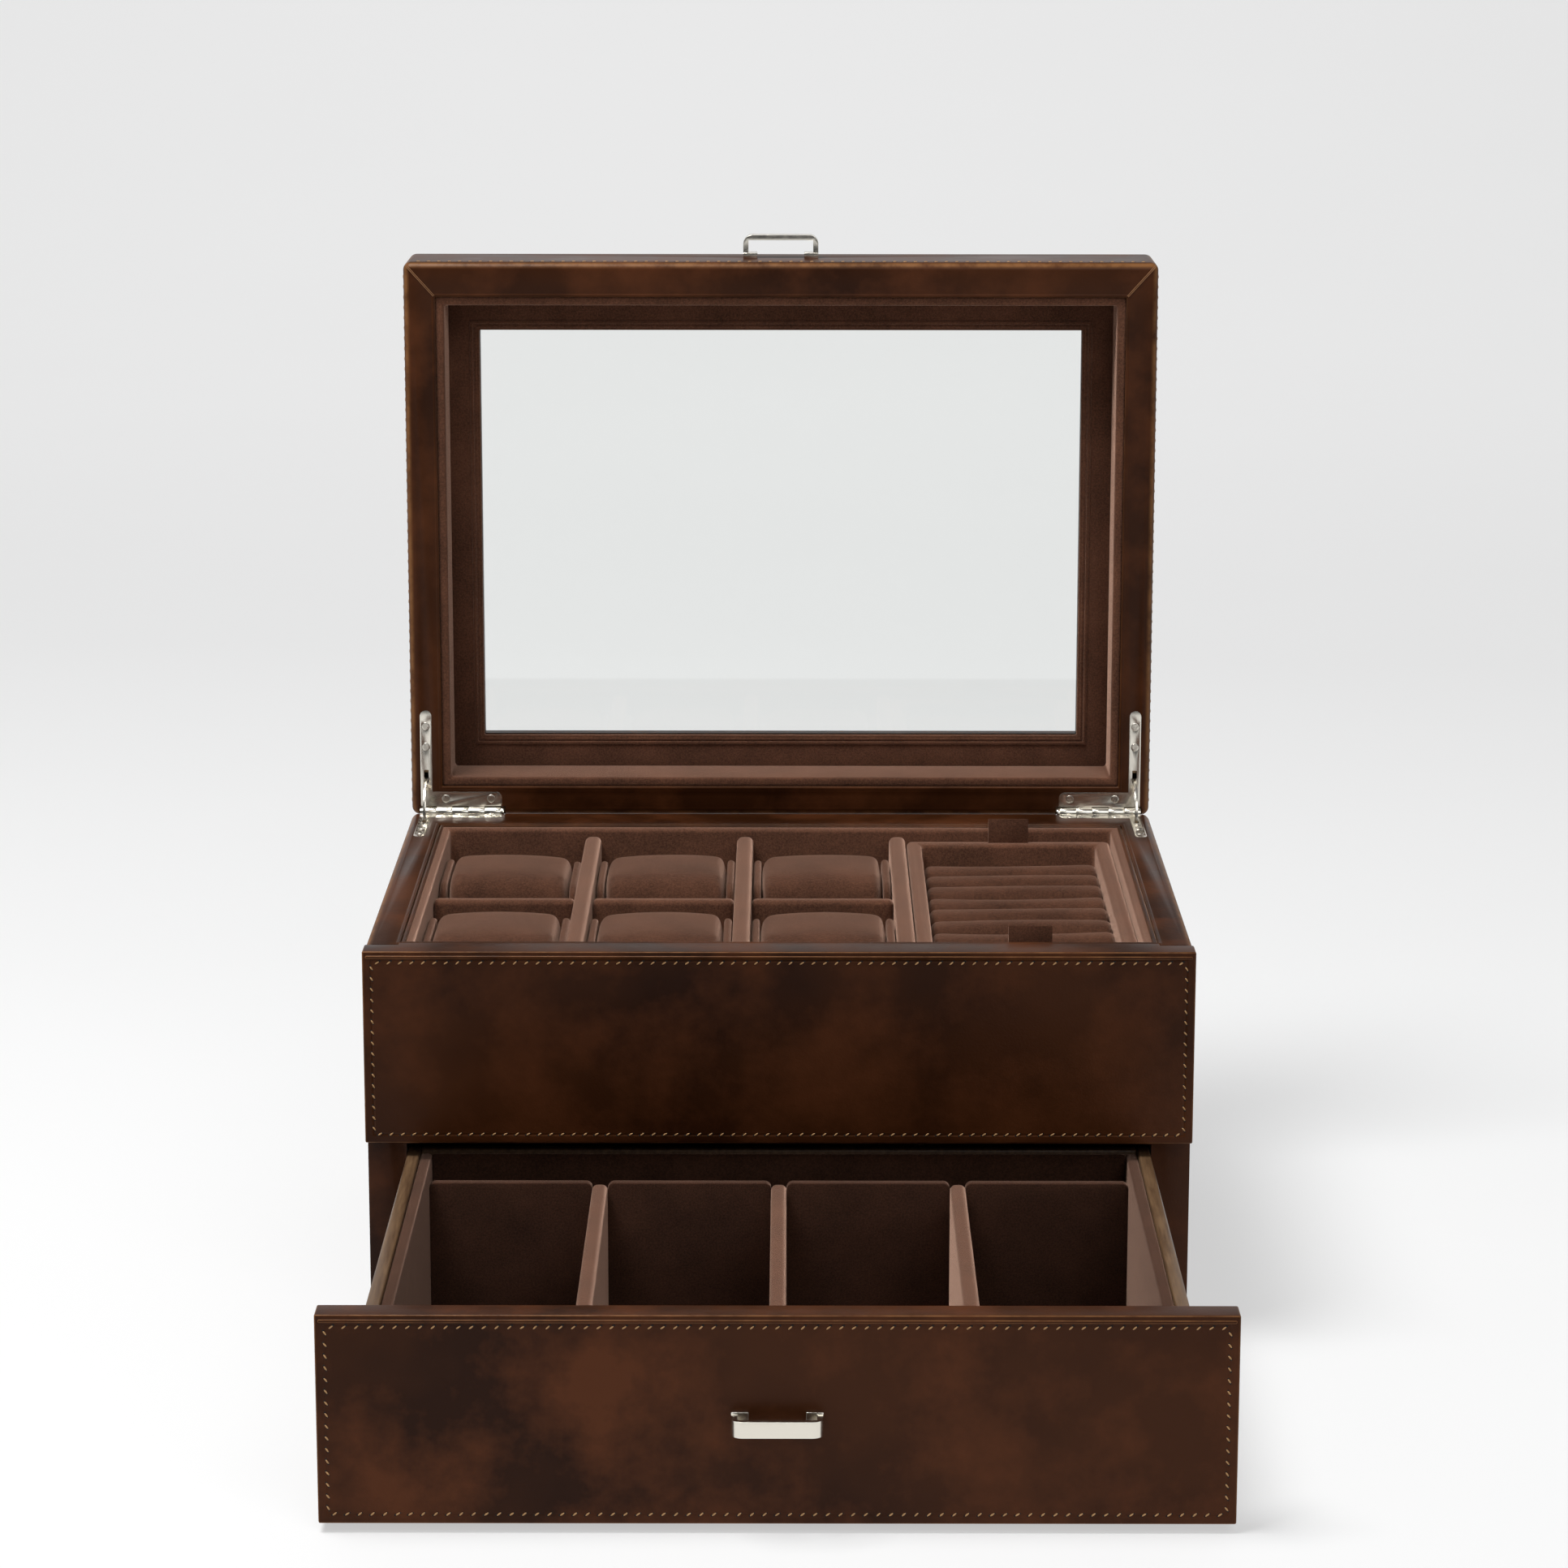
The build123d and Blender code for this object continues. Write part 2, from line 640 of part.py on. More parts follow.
# ---------------------------------------------------------------- hinges and stays
def knuckle_spans(first):
    """Spans of every other knuckle, from the outer end."""
    return [(knuckle_edges[i] - knuckle_gap / 2, knuckle_edges[i + 1] + knuckle_gap / 2)
            for i in range(first, knuckle_count, 2)]


def along_x(plane, x):
    return Plane(plane.from_local_coords((x, 0, 0)), x_dir=(0, 1, 0), z_dir=(1, 0, 0))


def make_leaf(plane, out, side, first, bore_r, label):
    """One hinge leaf with its share of the knuckles."""
    with BuildPart() as leaf:
        with BuildSketch(plane.offset(out * rim_t)):
            leaf_outline(side)
            for x0, x1 in knuckle_spans(first):
                with Locations((side * (x0 + x1) / 2, -leaf_root / 2)):
                    Rectangle(x0 - x1, leaf_root)
            with Locations((side * stay_x, -(slot_f0 + slot_f1) / 2)):
                Rectangle(slot_w, slot_f1 - slot_f0, mode=Mode.SUBTRACT)
        extrude(amount=out * leaf_t)
        for x0, x1 in knuckle_spans(first):
            with Locations(along_x(plane, side * (x0 + x1) / 2)):
                Cylinder(barrel_r, x0 - x1)
        with Locations(along_x(plane, side * (knuckle_edges[0] + knuckle_edges[-1]) / 2)):
            Cylinder(bore_r, barrel_x0, mode=Mode.SUBTRACT)
        add(leaf_screws(plane, out), mode=Mode.SUBTRACT)
    save(leaf, label)


def make_hinges():
    for side, name in ((-1, "left"), (1, "right")):
        make_leaf(case_plane, -1, side, 0, pin_r, f"hinge_case_leaf_{name}")
        make_leaf(lid_plane, 1, side, 1, pin_r + pin_clear, f"hinge_lid_leaf_{name}")
    for plane, out, name in ((case_plane, -1, "case"), (lid_plane, 1, "lid")):
        with BuildPart() as screws:
            add(leaf_screws(plane, out))
        save(screws, f"hinge_{name}_screws")
    with BuildPart() as pins:
        for side in (-1, 1):
            length = barrel_x0 - knuckle_edges[-1]
            with Locations(along_x(case_plane, side * (barrel_x0 + knuckle_edges[-1]) / 2)):
                Cylinder(pin_r, length)
            with Locations(along_x(case_plane, side * (knuckle_edges[-1] - pin_tip_l / 2))):
                Cylinder(barrel_r * pin_tip_taper, pin_tip_l)
    save(pins, "hinge_pins")


def ray_plane(angle, x):
    """Plane through the hinge axis whose y points at an angle above the case rim."""
    a = math.radians(angle)
    return Plane((x, axis_y, axis_z), x_dir=(1, 0, 0), z_dir=(0, -math.sin(a), -math.cos(a)))


def make_stay(side, label):
    """Quadrant stay: an arc about the hinge axis with a head at each end."""
    axis = Axis((0, axis_y, axis_z), (-1, 0, 0))
    low, high = -stay_over, 90 + stay_over
    stretches = [(low, high, stay_t), (low, low + stay_head_arc, stay_head_t),
                 (high - stay_head_arc, high, stay_head_t)]
    with BuildPart() as stay:
        for start, end, width in stretches:
            with BuildSketch(ray_plane(start, side * stay_x)):
                with Locations((0, (stay_r0 + stay_r1) / 2)):
                    Rectangle(width, stay_r1 - stay_r0)
            revolve(axis=axis, revolution_arc=end - start)
    save(stay, label)


# ---------------------------------------------------------------- build everything
drawer_screws = pull_screws(*drawer_pull_at, front_t)
lid_screws = pull_screws(*lid_pull_at, lid_rim_front)
save(drawer_screws, "drawer_pull_screws")
save(lid_screws, "lid_pull_screws")
make_base()
make_side_board(-1, "side_board_left")
make_side_board(1, "side_board_right")
make_back_board()
make_shelf()
make_front_panel()
make_case_leather()
make_bay_lining()
make_tray()
for row, row_name in zip(row_y, ("front", "rear")):
    for column, column_name in zip(column_x, ("left", "middle", "right")):
        make_pillow(column, row, f"watch_pillow_{row_name}_{column_name}")
make_ring_tray()
make_drawer_front()
make_drawer_box()
make_drawer_lining()
make_drawer_dividers()
make_pull(*drawer_pull_at, drawer_screws.part, "drawer_pull")
make_lid_boards()
make_lid_leather()
make_lid_inside()
make_pull(*lid_pull_at, lid_screws.part, "lid_pull")
make_hinges()
make_stay(-1, "stay_left")
make_stay(1, "stay_right")
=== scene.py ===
"""Leather jewellery case: leather, velvet, stitching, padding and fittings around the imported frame."""
import math
import random
from contextlib import contextmanager

import bmesh
import bpy
from bpy.props import FloatProperty, FloatVectorProperty, PointerProperty
from mathutils import Matrix, Vector


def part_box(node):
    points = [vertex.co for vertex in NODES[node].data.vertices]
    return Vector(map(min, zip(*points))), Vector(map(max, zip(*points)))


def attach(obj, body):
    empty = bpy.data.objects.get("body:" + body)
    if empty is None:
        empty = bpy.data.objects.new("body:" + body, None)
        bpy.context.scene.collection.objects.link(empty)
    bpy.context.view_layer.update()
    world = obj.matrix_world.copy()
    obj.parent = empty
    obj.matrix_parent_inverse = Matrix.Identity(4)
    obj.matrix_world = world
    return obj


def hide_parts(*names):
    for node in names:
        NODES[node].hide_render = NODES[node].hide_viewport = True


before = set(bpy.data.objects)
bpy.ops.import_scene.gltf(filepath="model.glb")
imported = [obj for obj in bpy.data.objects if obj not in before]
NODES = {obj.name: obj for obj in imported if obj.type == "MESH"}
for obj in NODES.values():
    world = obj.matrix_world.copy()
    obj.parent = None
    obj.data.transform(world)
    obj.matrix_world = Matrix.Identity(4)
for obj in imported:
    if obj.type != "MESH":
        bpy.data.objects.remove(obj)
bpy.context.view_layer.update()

bl_info = {
    "name": "Leather jewellery case",
    "version": (1, 0, 0),
    "blender": (4, 5, 0),
    "location": "3D View > Sidebar > Case",
    "description": "Builds the finished surfaces of a lined leather jewellery case",
    "category": "Object",
}

MM = 0.001
SIDES = (-1, 1)
MADE = {}   # the materials made so far, by name
MERGE = 0.002 * MM          # points closer than this are one point
SEAM_TILT = 22.0            # degrees, on the covers' seams
SEAM_SINK = 0.1 * MM        # how far a cover's seam sits below the surface
SEAM_END = 4.2 * MM         # from a cover's edge to the first stitch
WELT_DROP = 2.3 * MM        # from a front's top edge down to its welt
FRONT_TOP_EXTRA = 0.9 * MM  # how much lower the top seam of a front runs
COVER_EDGE = 0.45 * MM      # rounding of the covers' edges
PIPING_OUT, PIPING_WIDTH, PIPING_RISE = 1.3 * MM, 1.8 * MM, 0.1 * MM
PIPING_DEPTH, PIPING_ROUND = 1.6 * MM, 0.75 * MM
INNER_PIPING = (-0.9 * MM, 1.6 * MM, -0.2 * MM)   # out, width and rise of the case's second bead
METAL_EDGE = 0.14 * MM      # rounding of the leaves and the stays
PULL_EDGE = 0.6 * MM        # rounding of the pulls
SCREW_PROUD = 0.12 * MM     # how far the screw heads stand out of their leaves
PAPER = (0.360, 0.366)      # darkest and lightest grey of the studio paper
PAPER_GLOW = 0.51
WORLD_STRENGTH = (0.015, 0.22)   # before the case and behind it
CAMERA_PLACE, CAMERA_LENS, SENSOR_WIDTH = (0.0041, -1.8174, 0.6012), 105.04, 36.0
CAMERA_PITCH, CAMERA_ROLL, CAMERA_YAW = (math.radians(turn) for turn in (12.53, -0.045, 0.0852))
LIGHTS = (   # name, place, target, size, power
    ("key", (-0.62, -0.42, 2.1), (0, -0.05, 0.15), 0.9, 50),
    ("fill", (0.7, -1.9, 1.6), (0, -0.1, 0.1), 1.3, 13),
    ("back_wash", (-0.3, 2.0, 3.4), (0, 6.0, 2.6), 2.6, 90),
)
PILLOWS = [f"{row}_{column}" for row in ("front", "rear") for column in ("left", "middle", "right")]


# ---------------------------------------------------------------- settings
class CaseSettings(bpy.types.PropertyGroup):
    """Sizes and colours a user would change."""

    leather_dark: FloatVectorProperty(
        name="Leather, dark", description="Deepest brown of the leather", subtype="COLOR",
        size=3, default=(0.022, 0.0062, 0.0016), min=0, max=1)
    leather_mid: FloatVectorProperty(
        name="Leather, middle", description="Main brown of the leather", subtype="COLOR",
        size=3, default=(0.050, 0.0150, 0.0042), min=0, max=1)
    leather_warm: FloatVectorProperty(
        name="Leather, warm", description="Reddish brown of the leather", subtype="COLOR",
        size=3, default=(0.088, 0.0265, 0.0085), min=0, max=1)
    leather_rubbed: FloatVectorProperty(
        name="Leather, rubbed", description="Tan that shows where edges are rubbed", subtype="COLOR",
        size=3, default=(0.24, 0.105, 0.036), min=0, max=1)
    velvet_pile: FloatVectorProperty(
        name="Velvet", description="Colour of the velvet pile", subtype="COLOR",
        size=3, default=(0.062, 0.0255, 0.0142), min=0, max=1)
    thread: FloatVectorProperty(
        name="Thread", description="Colour of the stitching", subtype="COLOR",
        size=3, default=(0.48, 0.27, 0.11), min=0, max=1)
    stitch_pitch: FloatProperty(
        name="Stitch pitch", description="From one stitch to the next", subtype="DISTANCE",
        unit="LENGTH", default=4.4 * MM, min=2 * MM, max=10 * MM)
    stitch_length: FloatProperty(
        name="Stitch length", description="Length of one stitch", subtype="DISTANCE",
        unit="LENGTH", default=2.0 * MM, min=1 * MM, max=8 * MM)
    stitch_margin: FloatProperty(
        name="Stitch margin", description="From a panel's edge to its stitching", subtype="DISTANCE",
        unit="LENGTH", default=3.6 * MM, min=2 * MM, max=10 * MM)
    pillow_swell: FloatProperty(
        name="Pillow swell", description="How far a pillow's cover may swell", subtype="DISTANCE",
        unit="LENGTH", default=2.2 * MM, min=0, max=6 * MM)


def settings():
    return bpy.context.scene.jewellery_case


# ---------------------------------------------------------------- modelling helpers
def activate(*objects):
    bpy.ops.object.select_all(action="DESELECT")
    for obj in objects:
        obj.select_set(True)
    bpy.context.view_layer.objects.active = objects[-1]


@contextmanager
def editing(obj, kind="FACE"):
    activate(obj)
    bpy.ops.object.mode_set(mode="EDIT")
    bpy.ops.mesh.select_mode(type=kind)
    bpy.ops.mesh.select_all(action="DESELECT")
    yield
    bpy.ops.object.mode_set(mode="OBJECT")


def pick(obj, kind, test):
    """Selects just the faces or edges that pass the test, in edit mode."""
    bpy.ops.mesh.select_all(action="DESELECT")
    mesh = bmesh.from_edit_mesh(obj.data)
    for item in getattr(mesh, kind):
        if test(item):
            item.select_set(True)
    mesh.select_flush_mode()
    bmesh.update_edit_mesh(obj.data)


def facing(direction):
    way = Vector(direction)
    return lambda face: face.normal.dot(way) > 0.95


def along(axis, where=lambda middle: True):
    """Edges that run along an axis and whose middle passes a test."""
    def test(edge):
        run = edge.verts[1].co - edge.verts[0].co
        return abs(run[axis]) > 0.95 * run.length and where((edge.verts[0].co + edge.verts[1].co) / 2)
    return test


def apply_modifier(obj, kind, **values):
    activate(obj)
    modifier = obj.modifiers.new(kind.title(), kind)
    for key, value in values.items():
        setattr(modifier, key, value)
    bpy.ops.object.modifier_apply(modifier=modifier.name)


def smooth(obj, degrees=40):
    activate(obj)
    bpy.ops.object.shade_smooth_by_angle(angle=math.radians(degrees))


def soften(obj, radius, segments=3, degrees=30):
    """Rounds every sharp edge of a closed piece."""
    apply_modifier(obj, "BEVEL", width=radius, segments=segments, limit_method="ANGLE",
                   angle_limit=math.radians(degrees), harden_normals=False)
    smooth(obj)


def block(name, low, high):
    """A closed block between two corners, its object left at the origin."""
    low, high = Vector(low), Vector(high)
    bpy.ops.object.select_all(action="DESELECT")
    bpy.ops.mesh.primitive_cube_add(size=1, location=(low + high) / 2)
    obj = bpy.context.object
    obj.name = name
    obj.scale = high - low
    bpy.ops.object.transform_apply(location=True, rotation=True, scale=True)
    return obj


def pad(name, low, high, radius, segments=4):
    obj = block(name, low, high)
    thinnest = min(b - a for a, b in zip(low, high))
    soften(obj, min(radius, 0.48 * thinnest), segments)
    return obj


def ring(name, low, high, inner_low, inner_high, axis, radius, segments=3):
    """A closed rectangular ring whose opening runs right through along an axis."""
    obj = block(name, low, high)
    outer = Vector(high) - Vector(low)
    inner = Vector(inner_high) - Vector(inner_low)
    way = Vector([float(i == axis) for i in range(3)])
    wall = min(outer[i] for i in range(3) if i != axis) * 0.01
    with editing(obj):
        for sign in SIDES:
            pick(obj, "faces", facing(way * sign))
            bpy.ops.mesh.inset(thickness=wall)
            centre = (Vector(low) + Vector(high)) / 2
            centre[axis] = high[axis] if sign > 0 else low[axis]
            scale = [1 if i == axis else inner[i] / (outer[i] - 2 * wall) for i in range(3)]
            bpy.ops.transform.resize(value=scale, center_override=centre)
            shift = (Vector(inner_low) + Vector(inner_high) - Vector(low) - Vector(high)) / 2
            shift[axis] = 0
            bpy.ops.transform.translate(value=shift)
        def inner_face(face):
            middle = face.calc_center_median()
            across = [i for i in range(3) if i != axis]
            return abs(face.normal[axis]) > 0.95 and all(
                inner_low[i] < middle[i] < inner_high[i] for i in across)
        pick(obj, "faces", inner_face)
        bpy.ops.mesh.bridge_edge_loops()
        bpy.ops.mesh.select_all(action="SELECT")
        bpy.ops.mesh.normals_make_consistent(inside=False)
    soften(obj, radius, segments)
    return obj


def copied(node, name, radius=0.0, segments=2, degrees=35):
    """A merged copy of a CAD node's mesh, with its sharp edges eased."""
    obj = bpy.data.objects.new(name, NODES[node].data.copy())
    bpy.context.scene.collection.objects.link(obj)
    obj.data.materials.clear()
    with editing(obj, "VERT"):
        bpy.ops.mesh.select_all(action="SELECT")
        bpy.ops.mesh.remove_doubles(threshold=MERGE)
        bpy.ops.mesh.customdata_custom_splitnormals_clear()
        bpy.ops.mesh.dissolve_limited(angle_limit=math.radians(0.5))
    if radius:
        apply_modifier(obj, "BEVEL", width=radius, segments=segments, limit_method="ANGLE",
                       angle_limit=math.radians(degrees), use_clamp_overlap=True)
    smooth(obj, 35)
    return obj


def join(name, *objects):
    activate(*objects)
    bpy.ops.object.join()
    joined = bpy.context.object
    joined.name = name
    return joined


def twin(obj, name, shift=(0, 0, 0), reshape=None):
    """A copy with its own mesh, moved, and reshaped point by point if asked."""
    other = bpy.data.objects.new(name, obj.data.copy())
    bpy.context.scene.collection.objects.link(other)
    for vertex in other.data.vertices:
        if reshape:
            vertex.co = reshape(vertex.co)
        vertex.co += Vector(shift)
    return other


def remove(obj):
    bpy.data.objects.remove(obj)


def scatter(name, master, places):
    """One mesh that holds a copy of the master at each place."""
    mesh = bmesh.new()
    for place in places:
        before = len(mesh.verts)
        mesh.from_mesh(master.data)
        mesh.verts.ensure_lookup_table()
        bmesh.ops.transform(mesh, matrix=place, verts=mesh.verts[before:])
    obj = bpy.data.objects.new(name, bpy.data.meshes.new(name))
    mesh.to_mesh(obj.data)
    mesh.free()
    bpy.context.scene.collection.objects.link(obj)
    smooth(obj, 60)
    return obj


def solids(node):
    """The lowest and highest corner of each separate solid in a CAD node."""
    mesh = bmesh.new()
    mesh.from_mesh(NODES[node].data)
    bmesh.ops.remove_doubles(mesh, verts=mesh.verts, dist=MERGE)
    left, found = set(mesh.verts), []
    while left:
        group, queue = [], [left.pop()]
        while queue:
            vertex = queue.pop()
            group.append(vertex.co.copy())
            for edge in vertex.link_edges:
                other = edge.other_vert(vertex)
                if other in left:
                    left.remove(other)
                    queue.append(other)
        found.append(tuple(Vector([pick_one(co[i] for co in group) for i in range(3)])
                           for pick_one in (min, max)))
    mesh.free()
    return sorted(found, key=lambda pair: tuple(round(value, 5) for value in pair[0]))


# ---------------------------------------------------------------- material helpers
def group_tree(name, inputs, outputs):
    tree = bpy.data.node_groups.new(name, "ShaderNodeTree")
    for title, kind, value in inputs:
        tree.interface.new_socket(name=title, in_out="INPUT", socket_type=kind).default_value = value
    for title, kind in outputs:
        tree.interface.new_socket(name=title, in_out="OUTPUT", socket_type=kind)
    return tree, tree.nodes.new("NodeGroupInput"), tree.nodes.new("NodeGroupOutput")


def add(tree, kind, links=None, **values):
    """A node with its plain values set and its inputs linked or filled in."""
    node = tree.nodes.new("ShaderNode" + kind)
    for key, value in values.items():
        setattr(node, key, value)
    for key, source in (links or {}).items():
        if isinstance(source, bpy.types.NodeSocket):
            tree.links.new(source, node.inputs[key])
        else:
            node.inputs[key].default_value = source
    return node


def maths(tree, operation, first, second=0.0):
    return add(tree, "Math", {0: first, 1: second}, operation=operation).outputs[0]


def blended(tree, factor, first, second, mode="MIX"):
    node = tree.nodes.new("ShaderNodeMix")
    node.data_type, node.blend_type = "RGBA", mode
    for socket, source in ((node.inputs[0], factor), (node.inputs[6], first), (node.inputs[7], second)):
        if isinstance(source, bpy.types.NodeSocket):
            tree.links.new(source, socket)
        else:
            socket.default_value = source
    return node.outputs[2]


def ramp(tree, source, low, high, first=0.0, second=1.0):
    node = add(tree, "MapRange", {"Value": source, "From Min": low, "From Max": high,
                                  "To Min": first, "To Max": second})
    return node.outputs[0]


def noise_at(tree, scale, detail=3.0, roughness=0.55, stretch=None):
    place = add(tree, "TexCoord").outputs["Object"]
    if stretch:
        place = add(tree, "Mapping", {"Vector": place, "Scale": stretch}).outputs[0]
    return add(tree, "TexNoise", {"Vector": place, "Scale": scale, "Detail": detail,
                                  "Roughness": roughness}).outputs[0]


def edge_group():
    """Mask of rounded edges, broken up by noise: where the surface faces no one axis."""
    tree, _, out = group_tree("rubbed_edges", [], [("Mask", "NodeSocketFloat")])
    normal = add(tree, "TexCoord").outputs["Normal"]
    size = add(tree, "VectorMath", {0: normal}, operation="ABSOLUTE").outputs[0]
    parts = add(tree, "SeparateXYZ", {0: size}).outputs
    largest = maths(tree, "MAXIMUM", maths(tree, "MAXIMUM", parts[0], parts[1]), parts[2])
    turned = ramp(tree, maths(tree, "SUBTRACT", 1.0, largest), 0.02, 0.20)
    worn = ramp(tree, noise_at(tree, 95.0, 5.0, 0.65), 0.26, 0.58)
    tree.links.new(maths(tree, "MULTIPLY", turned, worn), out.inputs[0])
    return tree


def grain_group():
    """Height of fine leather grain with shallow creases."""
    tree, source, out = group_tree(
        "leather_grain", [("Scale", "NodeSocketFloat", 1300.0)], [("Height", "NodeSocketFloat")])
    place = add(tree, "TexCoord").outputs["Object"]
    pores = add(tree, "TexVoronoi", {"Vector": place, "Scale": source.outputs[0]},
                feature="SMOOTH_F1").outputs[0]
    creases = noise_at(tree, 210.0, 6.0, 0.6)
    height = maths(tree, "ADD", maths(tree, "MULTIPLY", pores, 0.35),
                   maths(tree, "MULTIPLY", creases, 0.65))
    tree.links.new(height, out.inputs[0])
    return tree


def pile_group():
    """Nap of short pile: broad brushed patches, and the height of single tufts."""
    tree, _, out = group_tree(
        "velvet_pile", [], [("Nap", "NodeSocketFloat"), ("Height", "NodeSocketFloat")])
    nap = ramp(tree, noise_at(tree, 46.0, 4.0, 0.6), 0.3, 0.7)
    tuft = noise_at(tree, 2300.0, 2.0, 0.7)
    speck = ramp(tree, noise_at(tree, 1300.0, 3.0, 0.8), 0.36, 0.64)
    mixed = maths(tree, "ADD", maths(tree, "MULTIPLY", nap, 0.4), maths(tree, "MULTIPLY", speck, 0.6))
    tree.links.new(mixed, out.inputs[0])
    tree.links.new(tuft, out.inputs[1])
    return tree


def group(name, build):
    return bpy.data.node_groups.get(name) or build()


def use_group(tree, name, build):
    node = tree.nodes.new("ShaderNodeGroup")
    node.node_tree = group(name, build)
    return node


def opaque(colour):
    return (*colour, 1.0)


def material(name, build):
    """The named material, made the first time it is asked for."""
    if name in MADE:
        return MADE[name]
    made = MADE[name] = bpy.data.materials.new(name)
    made.use_nodes = True
    tree = made.node_tree
    build(tree, tree.nodes["Principled BSDF"])
    return made


def link(tree, source, shader, socket):
    tree.links.new(source, shader.inputs[socket])


def bumped(tree, shader, height, strength, distance):
    node = add(tree, "Bump", {"Height": height, "Strength": strength, "Distance": distance})
    link(tree, node.outputs[0], shader, "Normal")


def leather_finish(redness, gloss, rub=0.7):
    def build(tree, shader):
        look = settings()
        broad = noise_at(tree, 7.5, 4.0, 0.6)
        patch = noise_at(tree, 26.0, 5.0, 0.62)
        dark = blended(tree, ramp(tree, broad, 0.38, 0.60),
                       opaque(look.leather_dark), opaque(look.leather_mid))
        warm = blended(tree, ramp(tree, patch, 0.44, 0.68, 0.0, redness),
                       dark, opaque(look.leather_warm))
        edge = use_group(tree, "rubbed_edges", edge_group).outputs[0]
        colour = blended(tree, maths(tree, "MULTIPLY", edge, rub), warm, opaque(look.leather_rubbed))
        link(tree, colour, shader, "Base Color")
        link(tree, ramp(tree, patch, 0.3, 0.75, gloss, gloss + 0.13), shader, "Roughness")
        grain = use_group(tree, "leather_grain", grain_group)
        bumped(tree, shader, grain.outputs[0], 0.4, 0.0002)
        shader.inputs["Specular IOR Level"].default_value = 0.09
        shader.inputs["Coat Weight"].default_value = 0.03
        shader.inputs["Coat Roughness"].default_value = 0.2
    return build


def velvet_finish(lift, sheen):
    def build(tree, shader):
        pile = use_group(tree, "velvet_pile", pile_group)
        base = settings().velvet_pile
        # lift scales the pile's colour; the copies made at different lifts are one velvet with painted
        # light and painted shade
        low = opaque([channel * lift * 0.42 for channel in base])
        high = opaque([channel * lift * 1.72 for channel in base])
        link(tree, blended(tree, pile.outputs["Nap"], low, high), shader, "Base Color")
        bumped(tree, shader, pile.outputs["Height"], 0.8, 0.0004)
        shader.inputs["Roughness"].default_value = 0.95
        shader.inputs["Specular IOR Level"].default_value = 0.12
        shader.inputs["Sheen Weight"].default_value = sheen
        shader.inputs["Sheen Roughness"].default_value = 0.42
        shader.inputs["Sheen Tint"].default_value = (0.80, 0.50, 0.37, 1.0)
    return build


def metal_finish(colour, rough):
    def build(tree, shader):
        haze = noise_at(tree, 320.0, 3.0, 0.6)
        link(tree, ramp(tree, haze, 0.3, 0.7, rough, rough + 0.08), shader, "Roughness")
        brighter = opaque([min(1.0, channel * 1.06) for channel in colour])
        link(tree, blended(tree, haze, opaque(colour), brighter), shader, "Base Color")
        bumped(tree, shader, noise_at(tree, 60.0, 2.0), 0.06, 0.0003)
        shader.inputs["Metallic"].default_value = 1.0
    return build


def cloth_finish(colour, scale):
    def build(tree, shader):
        thread = noise_at(tree, scale, 3.0, 0.7)
        high = opaque([channel * 1.5 for channel in colour])
        link(tree, blended(tree, thread, opaque(colour), high), shader, "Base Color")
        bumped(tree, shader, thread, 0.5, 0.0002)
        shader.inputs["Roughness"].default_value = 0.95
        shader.inputs["Sheen Weight"].default_value = 0.2
    return build


def wood_finish(dark, light, rough, stretch):
    def build(tree, shader):
        grain = noise_at(tree, 60.0, 6.0, 0.65, stretch)
        colour = blended(tree, ramp(tree, grain, 0.35, 0.65), opaque(dark), opaque(light))
        link(tree, colour, shader, "Base Color")
        link(tree, ramp(tree, grain, 0.3, 0.7, rough, rough + 0.12), shader, "Roughness")
        bumped(tree, shader, grain, 0.2, 0.0001)
    return build


def plain_finish(colour, rough):
    def build(tree, shader):
        speck = noise_at(tree, 1200.0, 2.0)
        low = opaque([channel * 0.75 for channel in colour])
        link(tree, blended(tree, speck, low, opaque(colour)), shader, "Base Color")
        shader.inputs["Roughness"].default_value = rough
    return build


def glass_finish(tree, shader):
    shader.inputs["Base Color"].default_value = (0.97, 0.985, 0.975, 1.0)
    shader.inputs["Transmission Weight"].default_value = 1.0
    shader.inputs["IOR"].default_value = 1.45
    smear = noise_at(tree, 9.0, 2.0)
    link(tree, ramp(tree, smear, 0.3, 0.7, 0.0, 0.02), shader, "Roughness")


def finishes():
    look = settings()
    return {
        "leather": material("waxed_leather", leather_finish(0.75, 0.34)),
        "leather_drawer": material("waxed_leather_warm", leather_finish(1.0, 0.36)),
        "piping": material("leather_piping", leather_finish(0.75, 0.36, 0.2)),
        # Painted light: the same velvet raised to a brighter lift, standing in for the light on the lit
        # tops of dividers and linings
        "velvet": material("short_velvet", velvet_finish(1.5, 1.0)),
        # Painted shade: the same velvet lowered in lift and sheen, standing in for the shade inside the
        # drawer's cells
        "velvet_painted_shade": material("deep_velvet", velvet_finish(0.7, 0.5)),
        "velvet_cushion": material("cushion_velvet", velvet_finish(1.15, 0.6)),
        "board": material(
            "raw_board", wood_finish((0.25, 0.16, 0.09), (0.36, 0.25, 0.15), 0.8, (1, 1, 1))),
        "drawer_plank": material(
            "plank", wood_finish((0.07, 0.036, 0.017), (0.15, 0.085, 0.040), 0.36, (8, 0.6, 8))),
        "bay_lining": material("lining_cloth", cloth_finish((0.03, 0.014, 0.009), 700.0)),
        "felt": material("base_felt", cloth_finish((0.02, 0.014, 0.012), 500.0)),
        "nickel": material("polished_nickel", metal_finish((0.74, 0.70, 0.62), 0.19)),
        "screw_steel": material("screw_nickel", metal_finish((0.66, 0.62, 0.55), 0.24)),
        "glass": material("clear_pane", glass_finish),
        "thread": material("waxed_thread", plain_finish(look.thread, 0.6)),
        # Near-black discs at the stitch ends: painted shade where the needle went through
        "hole": material("needle_hole", plain_finish((0.006, 0.003, 0.002), 0.9)),
        "raw_edge": material("raw_edge", plain_finish(look.leather_rubbed, 0.7)),
    }


